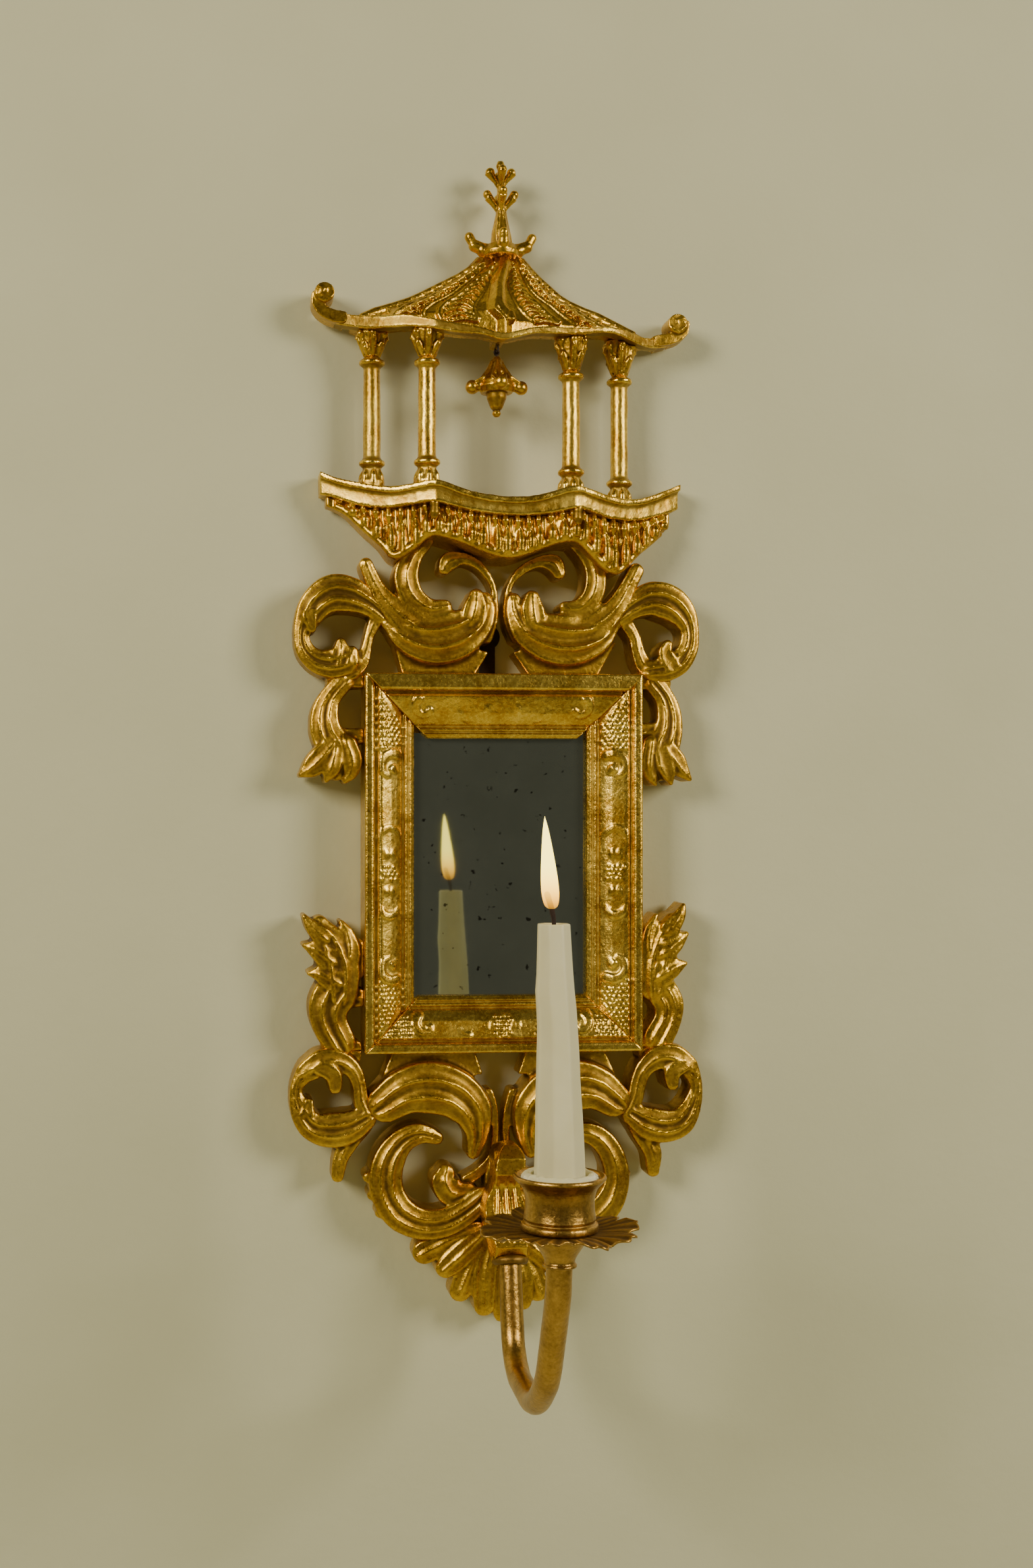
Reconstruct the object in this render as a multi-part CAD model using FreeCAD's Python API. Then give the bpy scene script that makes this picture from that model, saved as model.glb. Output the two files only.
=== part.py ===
import FreeCAD, Part
import math
import os

# Wall sconce: a small framed mirror between carved scrolls, a pagoda with a hanging bell above it,
# and one candle on a looped metal arm below.  Units are millimetres.  +Z is up, +Y goes into the
# wall, y = 0 is the wall.  Shapes are drawn about the carving's own centre line and are moved at the
# end, so that the origin is the hanging hole.

V = FreeCAD.Vector

# ---- driving dimensions -------------------------------------------------------------------------
HANG_X = -4.2          # hanging hole, measured from the carving's centre line
HANG_HOLE_R = 2.5
HANG_T = 1.6
FRAME_L = -69.5        # frame, outer edges
FRAME_R = 71.3
FRAME_TOP = -20.5
FRAME_BOT = -210.0
SIGHT_L = -44.0        # visible glass
SIGHT_R = 43.7
SIGHT_TOP = -52.6
SIGHT_BOT = -182.0
REBATE = 2.8           # how far the glass goes under the frame
GLASS_T = 3.0
GLASS_Y = -14.0        # front of the glass
BOARD_T = 4.0
CARVE_BACK = -3.0      # back of the carved scrolls
CARVE_FRONT = -20.0    # ground of the carved scrolls
ARM_X = -0.5
CANDLE_Y = -166.0
CANDLE_BASE_W = 22.0   # across flats: a standard seven-eighths-inch candle end
CANDLE_TOP_W = 13.0
CANDLE_BOT = -258.3
CANDLE_TOP = -136.0
SOCKET_R = 12.25
TUBE_R = 5.75
TUBE_BORE_R = 4.0
PAN_R = 35.0
PIN_R = 0.5
PIN_CLEAR = 0.06
BELL_X = -3.5
BELL_Y = -26.0
BELL_PIN_Z = 139.8

shapes = {}


# ---- helpers ------------------------------------------------------------------------------------
def spline(points, closed=False):
    curve = Part.BSplineCurve()
    curve.interpolate([V(*p) for p in points], PeriodicFlag=closed)
    return curve.toShape()


def prism_xz(edges, y_back, y_front):
    """Front-view outline, pushed out from y_back to y_front."""
    face = Part.Face(Part.Wire(edges))
    face.translate(V(0, y_back, 0))
    return face.extrude(V(0, y_front - y_back, 0))


def polygon_xz(points, y_back, y_front):
    ring = [V(x, 0, z) for x, z in points]
    wire = Part.makePolygon(ring + [ring[0]])
    face = Part.Face(wire)
    face.translate(V(0, y_back, 0))
    return face.extrude(V(0, y_front - y_back, 0))


def polygon_xy(points, z_low, z_high):
    ring = [V(x, y, z_low) for x, y in points]
    face = Part.Face(Part.makePolygon(ring + [ring[0]]))
    return face.extrude(V(0, 0, z_high - z_low))


def band(stroke, y_back, y_front, scale=1.0):
    """A carved band: (x, z, half width) along its middle line, with round ends."""
    left = []
    right = []
    last = len(stroke) - 1
    for i, (x, z, w) in enumerate(stroke):
        x0, z0 = stroke[max(i - 1, 0)][:2]
        x1, z1 = stroke[min(i + 1, last)][:2]
        size = math.hypot(x1 - x0, z1 - z0)
        nx = -(z1 - z0) / size
        nz = (x1 - x0) / size
        left.append((x + nx * w * scale, 0, z + nz * w * scale))
        right.append((x - nx * w * scale, 0, z - nz * w * scale))

    def cap(end, inner):
        x, z, w = stroke[end]
        xi, zi = stroke[inner][:2]
        size = math.hypot(x - xi, z - zi)
        return V(x + (x - xi) / size * w * scale, 0, z + (z - zi) / size * w * scale)

    tip = Part.Arc(V(*left[-1]), cap(last, last - 1), V(*right[-1])).toShape()
    tail = Part.Arc(V(*right[0]), cap(0, 1), V(*left[0])).toShape()
    edges = [spline(left), tip, spline(right[::-1]), tail]
    return prism_xz(edges, y_back, y_front)


def fuse(parts):
    body = parts[0]
    if len(parts) > 1:
        body = body.multiFuse(parts[1:])
    return body.removeSplitter()


def carving(strokes, blocks=()):
    """Bands with a narrower raised rib on each, and flat blocks where the piece is glued on."""
    parts = []
    for stroke, front in strokes:
        parts.append(band(stroke, CARVE_BACK, front))
        wide = max(w for x, z, w in stroke)
        if wide > 4.0:
            parts.append(band(stroke, front + 1.0, front - 2.5, 0.45))
    for points, front in blocks:
        parts.append(polygon_xz(points, CARVE_BACK, front))
    return fuse(parts)


def turned(profile, x, y):
    """A turned piece: (radius, z) from the axis round the outline and back to the axis."""
    ring = [V(r, 0, z) for r, z in profile]
    face = Part.Face(Part.makePolygon(ring + [ring[0]]))
    solid = face.revolve(V(0, 0, 0), V(0, 0, 1), 360)
    solid.translate(V(x, y, 0))
    return solid


def rod(start, end, radius):
    a = V(*start)
    b = V(*end)
    return Part.makeCylinder(radius, (b - a).Length, a, b - a)


def ball(x, y, z, r):
    return Part.makeSphere(r, V(x, y, z))


def biggest(shape):
    """The one solid that is left of a piece after it is cut back."""
    return max(shape.Solids, key=lambda s: s.Volume)


def trim(name, *cutters):
    shape = shapes[name]
    for cutter in cutters:
        shape = shape.cut(shapes[cutter])
    shapes[name] = biggest(shape)


# ---- the mirror frame: four mitred rails, a sheet of old glass and a backboard -------------------
GLASS_X0 = SIGHT_L - REBATE
GLASS_X1 = SIGHT_R + REBATE
GLASS_Z0 = SIGHT_BOT - REBATE
GLASS_Z1 = SIGHT_TOP + REBATE
shapes["mirror_plate"] = Part.makeBox(
    GLASS_X1 - GLASS_X0, GLASS_T, GLASS_Z1 - GLASS_Z0, V(GLASS_X0, GLASS_Y, GLASS_Z0))
BOARD_Y = GLASS_Y + GLASS_T
shapes["mirror_backboard"] = Part.makeBox(
    GLASS_X1 - GLASS_X0, BOARD_T, GLASS_Z1 - GLASS_Z0, V(GLASS_X0, BOARD_Y, GLASS_Z0))


def rail_profile(width, ledge, ledge_y):
    """Section of a rail: distance in from its outer edge, and depth."""
    w = width
    return [
        (0, 0), (0, ledge_y + 1), (1, ledge_y), (ledge - 1, ledge_y), (ledge, ledge_y + 1.5),
        (ledge + 1, -25.0), (ledge + 4, -25.4), (w - 10, -22.4), (w - 5.5, -18.8), (w - 4, -18.2),
        (w - 3, -19.4), (w - 1.4, -19.6), (w, -18.0), (w, GLASS_Y), (w - REBATE, GLASS_Y),
        (w - REBATE, 0)]


def rail(profile, origin, inward, along, length, mitre):
    ring = [V(*origin) + V(*inward) * d + V(0, y, 0) for d, y in profile]
    face = Part.Face(Part.makePolygon(ring + [ring[0]]))
    return face.extrude(V(*along) * length).common(polygon_xz(mitre, 1, -40))


CORNERS_OUT = [(FRAME_L, FRAME_TOP), (FRAME_R, FRAME_TOP), (FRAME_R, FRAME_BOT), (FRAME_L, FRAME_BOT)]
CORNERS_IN = [(SIGHT_L, SIGHT_TOP), (SIGHT_R, SIGHT_TOP), (SIGHT_R, SIGHT_BOT), (SIGHT_L, SIGHT_BOT)]
WIDE = FRAME_R - FRAME_L
TALL = FRAME_TOP - FRAME_BOT
rails = [
    ("top", rail_profile(FRAME_TOP - SIGHT_TOP, 8.5, -28.5), (FRAME_L, 0, FRAME_TOP), (0, 0, -1),
     (1, 0, 0), WIDE),
    ("right", rail_profile(FRAME_R - SIGHT_R, 5.0, -26.0), (FRAME_R, 0, FRAME_TOP), (-1, 0, 0),
     (0, 0, -1), TALL),
    ("bottom", rail_profile(SIGHT_BOT - FRAME_BOT, 5.0, -27.0), (FRAME_R, 0, FRAME_BOT), (0, 0, 1),
     (-1, 0, 0), WIDE),
    ("left", rail_profile(SIGHT_L - FRAME_L, 5.0, -26.0), (FRAME_L, 0, FRAME_BOT), (1, 0, 0),
     (0, 0, 1), TALL),
]
for i, (side, profile, origin, inward, along, length) in enumerate(rails):
    j = (i + 1) % 4
    mitre = [CORNERS_OUT[i], CORNERS_OUT[j], CORNERS_IN[j], CORNERS_IN[i]]
    # the mitre goes on past the sight edge to the rebate, which is further out
    shapes["frame_rail_" + side] = rail(profile, origin, inward, along, length, mitre)

brads = []
for z in (-80.0, -155.0):
    brads.append(rod((GLASS_X0 + 6, BOARD_Y + BOARD_T + 0.7, z), (GLASS_X0 - 8, -6.3, z), 0.7))
    brads.append(rod((GLASS_X1 - 6, BOARD_Y + BOARD_T + 0.7, z), (GLASS_X1 + 8, -6.3, z), 0.7))
for x in (-18.0, 20.0):
    brads.append(rod((x, -6.3, GLASS_Z0 + 6), (x, -6.3, GLASS_Z0 - 8), 0.7))
    brads.append(rod((x, -6.3, GLASS_Z1 - 6), (x, -6.3, GLASS_Z1 + 8), 0.7))
shapes["backing_brads"] = Part.makeCompound(brads)

# ---- the hanger: a blacksmith's iron strap let into the back of the top rail ---------------------
strap = Part.makeBox(8.0, HANG_T, 36.0, V(HANG_X - 4, -HANG_T, -36.0))
strap = strap.fuse(rod((HANG_X, -HANG_T, 0), (HANG_X, 0, 0), 6.5))
strap = strap.cut(rod((HANG_X, -5, 0), (HANG_X, 5, 0), HANG_HOLE_R))
hanger_screws = []
for z in (-26.0, -32.0):
    shank = rod((HANG_X, -13.0, z), (HANG_X, -0.9, z), 1.25)
    head = Part.makeCone(1.25, 2.5, 0.9, V(HANG_X, -0.95, z), V(0, 1, 0))
    hanger_screws.append(shank.fuse(head))
shapes["hanger_plate"] = strap.cut(Part.makeCompound(hanger_screws)).removeSplitter()
shapes["hanger_screws"] = Part.makeCompound(hanger_screws)

# ---- crest: two leafy scrolls standing on the top rail, and a volute on each side ----------------
shapes["crest_scroll_left"] = carving([
    ([(-57, 5, 4), (-48, 0, 9.5), (-36, -3, 13), (-24, -1, 13), (-14, 5, 10), (-9, 13, 6.5),
      (-8.5, 17, 4)], -20),
    ([(-68.5, 34, 3.5), (-64, 24, 4), (-57, 14, 5.5), (-48, 6, 7), (-38, 1, 6)], -21),
    ([(-37, 45.5, 2.5), (-45, 38, 5), (-48.5, 28, 6.5), (-45, 18, 6), (-37, 12.5, 5), (-29, 13, 4)],
     -21.5),
    ([(-7, -2, 3), (-3, 8, 1.8), (-2.6, 18, 1.5), (-5, 27, 1.8), (-11, 34.5, 2.3), (-19, 38, 3), (-26, 36.5, 4.8),
      (-28.5, 33, 3.5)], -18),
    ([(-15, 8, 6), (-13.5, 14, 6), (-13, 18.5, 4)], -22),
], [([(-50, -20.5), (-13, -20.5), (-6, -9), (-30, -4), (-55, -4)], -18)])

shapes["crest_scroll_right"] = carving([
    ([(6.5, 17, 3.8), (8, 11, 6), (14, 3, 10), (25, -2, 13), (37, -3, 13), (49, 0, 9.5), (58, 6, 4)],
     -20),
    ([(69, 32.5, 4), (64.5, 24, 4.3), (58.5, 14, 5.6), (50, 6, 7), (40, 1, 6)], -21),
    ([(37, 45.5, 2.5), (44.5, 38.5, 4.5), (48, 29, 5.5), (46, 19, 5.5), (39.5, 13.5, 4.5),
      (32.5, 13.5, 3.2)], -21.5),
    ([(8, -2, 3), (3.2, 8, 1.8), (3.3, 19, 1.5), (6.5, 27.5, 1.8), (12.5, 33.5, 2.3), (20, 36.8, 3), (27, 36, 4.8),
      (30, 31.5, 3.6)], -18),
    ([(16.5, 7, 6), (15.5, 13, 6), (15.5, 18, 4)], -22),
], [([(14, -20.5), (50, -20.5), (59, -4), (30, -4), (6, -9)], -18)])

shapes["crest_volute_left"] = carving([
    ([(-60, 9, 4.5), (-67, 14.5, 6.5), (-76, 18.7, 9), (-85, 19.5, 9.5), (-92.5, 15, 8.5),
      (-97.5, 7.5, 6.8), (-100.6, -1, 4.1), (-98.8, -9, 4.8), (-92.5, -14.5, 6.2), (-85, -15.5, 7.5),
      (-78, -14, 7)], -20),
    ([(-97, 8, 4), (-95.5, 1.7, 2.2)], -22),
    ([(-64, 5, 3.5), (-66.8, -2, 2.6), (-68.3, -9, 2.9), (-71, -15, 4), (-76, -19, 5)], -19),
    ([(-82, -14, 5), (-81, -8, 4), (-81, -5, 2.6)], -21),
    ([(-77, -14, 5), (-75.5, -9.5, 3)], -21),
], [([(-88, -24), (-70, -24), (-69.5, -17), (-90, -16)], -18)])

shapes["crest_volute_right"] = carving([
    ([(61, 9, 4.5), (68, 14.5, 6.5), (77, 18.3, 8.8), (86, 16.5, 9.2), (93, 10.8, 7.5),
      (96.8, 3, 5), (96.3, -6, 5.2), (91.5, -13.5, 6.2), (84.5, -17, 6.5), (78, -18, 5.5)], -20),
    ([(65, 5, 3.5), (68.7, -1, 3.2), (70.3, -8, 3.5), (73, -14.5, 4.3), (78, -19, 5)], -19),
    ([(87, -15, 4.5), (84, -9, 4), (85.5, -4.6, 2.4)], -21),
], [([(87, -24), (70.5, -24), (70, -16), (90, -16)], -18)])

# ---- sides: an S-shaped leaf above and an upright acanthus leaf below on each side ---------------
shapes["side_leaf_upper_left"] = carving([
    ([(-80, -25, 5), (-86, -32, 5.5), (-89, -40, 7), (-88.5, -49, 8), (-84, -57, 8)], -19),
    ([(-83, -24, 4), (-76, -24, 3.6), (-68, -24, 3.5)], -18),
    ([(-87, -51, 5), (-78, -51.5, 4), (-68, -51.5, 4)], -18),
    ([(-80, -56, 9), (-80, -64, 9), (-79.5, -69, 5.5)], -20),
    ([(-84, -60, 6), (-92, -67, 6), (-97.5, -70.5, 4.8)], -21),
    ([(-75, -58, 5), (-74, -68, 4.5), (-74, -71.5, 3.5)], -20),
], [([(-88, -24), (-70, -24), (-72, -27.5), (-88, -29)], -18)])

shapes["side_leaf_upper_right"] = carving([
    ([(79, -25, 5), (84, -31.5, 5.3), (86.5, -40, 6.4), (86, -49, 7.5), (83, -57, 8)], -19),
    ([(84, -24, 4), (77, -24, 3.6), (70, -24, 3.5)], -18),
    ([(85, -49.5, 5), (78, -49.5, 5.2), (70, -49.5, 5.2)], -18),
    ([(80, -56, 10), (80, -64, 10), (79, -70, 6)], -20),
    ([(85, -61, 6), (90.5, -68, 5), (92, -71.5, 3.6)], -21),
    ([(75, -58, 4.5), (74.5, -68, 4), (74.5, -71.5, 3)], -20),
], [([(87, -24), (71, -24), (73, -27.5), (88, -29)], -18)])

shapes["side_leaf_lower_left"] = carving([
    ([(-82, -204, 8.5), (-86.5, -195, 9.2), (-87, -187, 10.5), (-83.5, -180, 11)], -19),
    ([(-86, -183, 5.5), (-77, -183, 4.8), (-68, -182.5, 4.5)], -18),
    ([(-82, -178, 11), (-83, -167, 12), (-86, -156, 11), (-90, -148.5, 7)], -20),
    ([(-86, -170, 6), (-93.5, -168, 3.8)], -22),
    ([(-91, -156, 6), (-96, -154, 3.8)], -22),
    ([(-94, -149, 5), (-97.3, -145, 3)], -22),
    ([(-80, -163, 7), (-77, -153, 5), (-76.5, -147, 3.4)], -21),
    ([(-73, -165, 4), (-72, -149, 3)], -19),
], [([(-90, -209), (-70, -209), (-71, -204.5), (-92, -203)], -18)])

shapes["side_leaf_lower_right"] = carving([
    ([(81, -204, 8), (85.5, -195, 7.5), (86, -187, 8), (82, -180, 8.5)], -19),
    ([(84, -180, 5.5), (77, -180, 4.8), (70, -180, 4.5)], -18),
    ([(79, -176, 9), (80, -166, 10.5), (82, -156, 9.5), (85, -148.5, 6)], -20),
    ([(84, -167, 6), (91.5, -164.5, 4)], -22),
    ([(88, -151, 5), (92.5, -148, 3.6)], -22),
    ([(87, -146, 5), (91.5, -140, 4.2)], -22),
    ([(75, -172, 4), (74.3, -155, 3.6), (74.5, -141, 3)], -19),
], [([(88, -209), (71, -209), (72, -204), (90, -203)], -18)])

# ---- apron: two broad leaves with C-scrolls, a volute on each side and a shell at the bottom -----
shapes["apron_volute_left"] = carving([
    ([(-68, -240, 4.5), (-70.7, -234, 4), (-71.8, -226, 3.6), (-75.5, -218, 4.6), (-83, -214, 6),
      (-91, -215, 7), (-98.5, -219.5, 5.3)], -20),
    ([(-94, -216.5, 6), (-98.5, -219.5, 5.3), (-103.3, -228, 3.2), (-101, -238, 5.5),
      (-95.5, -246, 7.2), (-86.5, -248.5, 8.8), (-77, -247, 8.3), (-69, -243, 6)], -20),
    ([(-91, -217, 4), (-85, -220.5, 4.5), (-84, -227, 3.3)], -22),
    ([(-98, -240, 4), (-97, -234.5, 2.4)], -21),
    ([(-70, -247, 5), (-75.5, -253.5, 4.8), (-80.5, -262, 4), (-82.5, -272, 3.2)], -18),
], [([(-88, -209), (-70, -209), (-71, -214), (-92, -214)], -18)])

shapes["apron_volute_right"] = carving([
    ([(66, -240, 4.5), (68.8, -234, 4.2), (70.5, -226, 4.3), (74, -219, 4.8), (81, -214, 6.3),
      (89, -214.5, 7), (96, -219, 5.4)], -20),
    ([(92, -216.5, 6), (96, -219, 5.4), (100.2, -228, 3.4), (98.3, -238, 5), (92.5, -246.5, 7.4),
      (84, -249, 8.6), (75, -247, 8.2), (68, -243, 6)], -20),
    ([(93, -218, 3.6), (87.5, -221.5, 4.5), (87.3, -227.5, 3.3)], -22),
    ([(69, -247, 5), (74, -254.5, 5.4), (78.3, -263, 4.6), (78.5, -272, 3.4)], -18),
], [([(88, -209), (71, -209), (71, -214), (92, -214)], -18)])

shapes["apron_scroll_left"] = carving([
    ([(-58, -235, 10), (-48, -229, 12), (-35, -227.5, 13.5), (-23, -231.5, 12.5), (-15, -240, 10.5),
      (-12.5, -251, 6.2), (-14.2, -260.5, 3.6)], -21),
    ([(-6, -232, 3), (-2.8, -242, 2.1), (-2.3, -254, 1.9), (-4.5, -264, 2.1), (-10, -271, 2.6),
      (-17, -275.5, 3)], -16),
    ([(-32.5, -253.3, 3.4), (-41, -251, 5.2), (-49.5, -254, 6.4), (-56, -262, 8), (-58.6, -272, 8.6),
      (-57, -282, 8.6), (-51, -291, 8.6), (-41, -296, 8), (-30, -296, 7.4), (-19, -291, 6.8),
      (-10, -284, 6)], -20),
    ([(-17, -281, 5), (-25, -281, 7), (-28.5, -275, 7.2), (-28, -271.5, 4.8)], -18),
    ([(-60, -271, 4), (-67.3, -272.5, 2.6)], -19),
    ([(-60, -282, 4), (-65, -281.5, 2.8)], -19),
    ([(-56, -291, 4), (-61, -290.5, 2.8)], -19),
], [([(-55, -210), (-13, -210), (-9, -222), (-60, -222)], -18)])

shapes["apron_scroll_right"] = carving([
    ([(57, -235, 9), (48, -229, 11.5), (36, -227.5, 13.5), (24, -231.5, 12.5), (16, -240, 10.5),
      (13.5, -251, 6.2), (15.2, -260.5, 3.6)], -21),
    ([(7, -232, 3), (3.8, -242, 2.1), (3.3, -254, 1.9), (5.5, -264, 2.1), (11, -271, 2.6),
      (18, -275.5, 3)], -16),
    ([(33.5, -253.8, 3.4), (42, -251.5, 5), (50, -254.5, 6), (56, -262, 6.4), (59, -272, 6.6),
      (57.5, -282, 7.2), (51.5, -291, 8), (42, -296, 8), (31, -296, 7.4), (20, -291, 6.8),
      (11, -284, 6)], -20),
    ([(18, -281, 5), (26, -281, 7), (29.5, -275, 7.2), (29, -271.5, 4.8)], -18),
    ([(59, -273, 4), (64.2, -273, 2.6)], -19),
    ([(58, -283, 4), (62.5, -282.5, 2.6)], -19),
], [([(13, -210), (53, -210), (59, -222), (9, -222)], -18)])

SHELL = [((-12, -300), (-26, -305), (-38.5, -311), 6.3), ((-10, -303), (-20, -312), (-28, -319), 5.2),
         ((-8, -305), (-15, -318), (-20.5, -331), 5.6), ((-4, -306), (-8, -322), (-8.5, -338.5), 5.2),
         ((0, -306), (1, -325), (1, -343), 4.5), ((4, -306), (10, -322), (11, -336.5), 4.8),
         ((7, -305), (14, -317), (19.5, -331.5), 5.8), ((9, -303), (19, -311), (28.5, -319), 5.2),
         ((11, -300), (24, -304.5), (35, -311), 6.0)]
shell_parts = []
for k, (root, middle, tip, r) in enumerate(SHELL):
    front = -17.0 - 1.5 * (k % 2)
    lobe = [(root[0], root[1], 4.2), (middle[0], middle[1], 6), (tip[0], tip[1], r)]
    shell_parts.append((lobe, front))
shapes["apron_shell"] = carving(shell_parts, [([(-14, -308), (14, -308), (8, -296), (-8, -296)], -16)])
shapes["apron_spine"] = polygon_xz([(-7, -306), (7, -306), (8, -274), (5, -262), (-5, -262), (-8, -274)],
                                   CARVE_BACK, -19)

# ---- balcony: a wavy cornice on a canted plan, over a fluted valance -----------------------------
LOW = [(-91, 70), (-80, 66.5), (-70, 62.8), (-60, 61.4), (-51, 61.6), (-42, 62.5), (-36.5, 62.7),
       (-28, 60.8), (-13, 57.8), (1.5, 56.6), (16, 57.1), (26, 58.8), (34, 60.4), (47, 58.4),
       (58, 56.8), (70, 57.8), (81, 60.7), (94, 65.8)]
TOP = [(-91, 81.5), (-80, 76.6), (-70, 73.8), (-58, 71.4), (-46.5, 72.1), (-36.5, 73.2), (-25, 69.7),
       (-13, 66.6), (1, 65.3), (16, 66.6), (26, 69.6), (34, 71.4), (47, 68.8), (58, 67.4), (70, 68.2),
       (81, 72.2), (94, 78)]
PLAN_CORNICE = [(-92, 0), (-92, -12), (-36, -41), (34, -41), (93, -12), (93, 0)]
PLAN_FILLET = [(-93.5, 0), (-93.5, -13.5), (-36.5, -43), (34.5, -43), (94.5, -13.5), (94.5, 0)]
PLAN_VALANCE = [(-88, -2), (-88, -11.5), (-34, -36), (32.5, -36), (88.5, -11.5), (88.5, -2)]


def wave_band(low, top, plan, z_low, z_high):
    """A wavy front-view band that also follows the canted plan."""
    a = spline([(x, 0, z) for x, z in low])
    b = spline([(x, 0, z) for x, z in top])
    ends = []
    for p, q in ((low[-1], top[-1]), (top[0], low[0])):
        ends.append(Part.makeLine(V(p[0], 0, p[1]), V(q[0], 0, q[1])))
    slab = prism_xz([a, ends[0], b, ends[1]], 0, -60)
    return slab.common(polygon_xy(plan, z_low, z_high))


STEP = [(x, z - 3.2) for x, z in TOP]
fascia = wave_band(LOW, STEP, PLAN_CORNICE, 40, 100)
fillet = wave_band(STEP, TOP, PLAN_FILLET, 40, 100)
shapes["balcony_cornice"] = fuse([fascia, fillet])

HEM = [(-90, 64.5), (-79, 60), (-68, 49.3), (-60, 41.7), (-54.5, 35.8), (-46, 40.3), (-41.5, 44.4),
       (-36.5, 46.5), (-32, 45.9), (-22, 42.9), (-12, 39), (-2, 36), (5.5, 36.5), (14.5, 39.5),
       (22, 42.4), (30, 44.4), (37.5, 43.2), (44, 37.7), (50.5, 32.2), (55, 30), (59.5, 30.7),
       (68.5, 39.3), (76.5, 45.8), (85.5, 53.5), (91, 58.5)]
CAP = [(-90, 72), (91, 68)]
valance = wave_band(HEM, CAP, PLAN_VALANCE, 20, 80)
flutes = []
for (xa, ya), (xb, yb), count in ((PLAN_VALANCE[1], PLAN_VALANCE[2], 9),
                                  (PLAN_VALANCE[2], PLAN_VALANCE[3], 12),
                                  (PLAN_VALANCE[3], PLAN_VALANCE[4], 9)):
    for k in range(count):
        t = (k + 0.5) / count
        flutes.append(Part.makeCylinder(1.7, 60, V(xa + (xb - xa) * t, ya + (yb - ya) * t - 0.6, 20)))
shapes["balcony_valance"] = valance.cut(Part.makeCompound(flutes))
pegs = []
for x, z in ((-36.4, 58.5), (35.1, 56.5)):
    pegs.append(turned([(0, z - 4.5), (1.6, z - 3.8), (2.5, z - 1), (2.2, z + 2), (2.6, z + 5), (0, z + 5)],
                       x, -38.2))
shapes["cornice_pegs"] = Part.makeCompound(pegs)

# ---- pagoda: four turned colonettes with leafy capitals, a ribbed tent roof and its eave ---------
# name, x, y, foot, lower ring, upper ring, top
COLUMNS = [("outer_left", -65.0, -14.0, 68.0, 85.5, 136.0, 151.5),
           ("inner_left", -39.0, -29.5, 66.0, 83.6, 133.0, 149.0),
           ("inner_right", 33.5, -29.5, 64.0, 79.8, 127.5, 146.5),
           ("outer_right", 61.7, -14.0, 62.0, 77.5, 129.0, 148.5)]
for name, x, y, foot, low, high, top in COLUMNS:
    shapes["column_" + name] = turned([
        (0, foot), (6.3, foot), (6.3, low - 9.0), (5.0, low - 7.0), (4.5, low - 3.0), (4.9, low - 2.0),
        (6.6, low - 0.8), (6.6, low + 0.8), (5.0, low + 1.8), (4.5, low + 3.0), (4.3, high - 3.0),
        (4.8, high - 1.9), (6.5, high - 0.8), (6.5, high + 0.8), (4.8, high + 1.9), (3.9, high + 2.8),
        (0, high + 2.8)], x, y)
    neck = high + 2.8
    bell_of_leaves = [turned([(0, neck), (3.8, neck), (3.6, neck + 4.0), (5.2, neck + 8.0),
                              (7.2, top + 2.0), (0, top + 2.0)], x, y)]
    for k in range(6):
        a = math.radians(60 * k + 30)
        leaf = rod((x + 3.3 * math.cos(a), y + 3.3 * math.sin(a), neck + 2.0),
                   (x + 7.0 * math.cos(a), y + 7.0 * math.sin(a), top + 1.0), 1.5)
        bell_of_leaves.append(leaf)
        bell_of_leaves.append(ball(x + 7.0 * math.cos(a), y + 7.0 * math.sin(a), top - 1.5, 1.9))
    shapes["capital_" + name] = fuse(bell_of_leaves)

EAVE_LOW = [(-86, 157), (-74.5, 153), (-65, 150.6), (-50.5, 150.1), (-41, 148.7), (-22, 145.4),
            (-10.5, 143.9), (-3, 142), (5, 143.7), (17, 145.9), (32.5, 146.3), (43, 147.9), (54, 149.5),
            (62, 148.2), (71, 146.4), (82, 147.1), (89, 149.4)]
EAVE_TOP = [(-86, 163.3), (-74.5, 159.2), (-60, 156.5), (-50.5, 156.1), (-41, 153.9), (-22, 149.6),
            (-10.5, 147.4), (-3, 145.4), (5, 147.1), (17, 149.3), (32.5, 149.6), (43, 150.8),
            (54, 152.6), (62, 152.2), (71, 150.9), (82, 152.1), (89, 154.8)]
PLAN_EAVE = [(-86, -2), (-86, -11), (-62, -28), (-36, -40), (0, -44), (36, -40), (62, -28), (88, -11),
             (88, -2)]
shapes["roof_eave"] = wave_band(EAVE_LOW, EAVE_TOP, PLAN_EAVE, 120, 190)
CURLS = [("left", [(-80, 158.5, 3), (-87, 160, 3), (-92, 164, 2.8), (-93.2, 169, 2.4)], (-89, 170.3)),
         ("right", [(80, 150, 2.6), (88, 151.6, 2.8), (94, 154.6, 2.7), (95.6, 159, 2.3)], (91.3, 158.8))]
for side, stroke, (x, z) in CURLS:
    knob = rod((x, -3, z), (x, -18.5, z), 5.0)
    shapes["roof_curl_" + side] = fuse([band(stroke, -4, -17), knob])


def roof_section(left, right, depth, z):
    """Plan of the tent roof at one height: flat at the wall, five ribs round the front."""
    middle = (left + right) / 2
    half = (right - left) / 2
    pts = [(-1, 0), (-1, 0.25), (-0.62, 0.72), (0, 1), (0.62, 0.72), (1, 0.25), (1, 0)]
    return [V(middle + half * u, -2 - depth * v, z) for u, v in pts]


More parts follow.
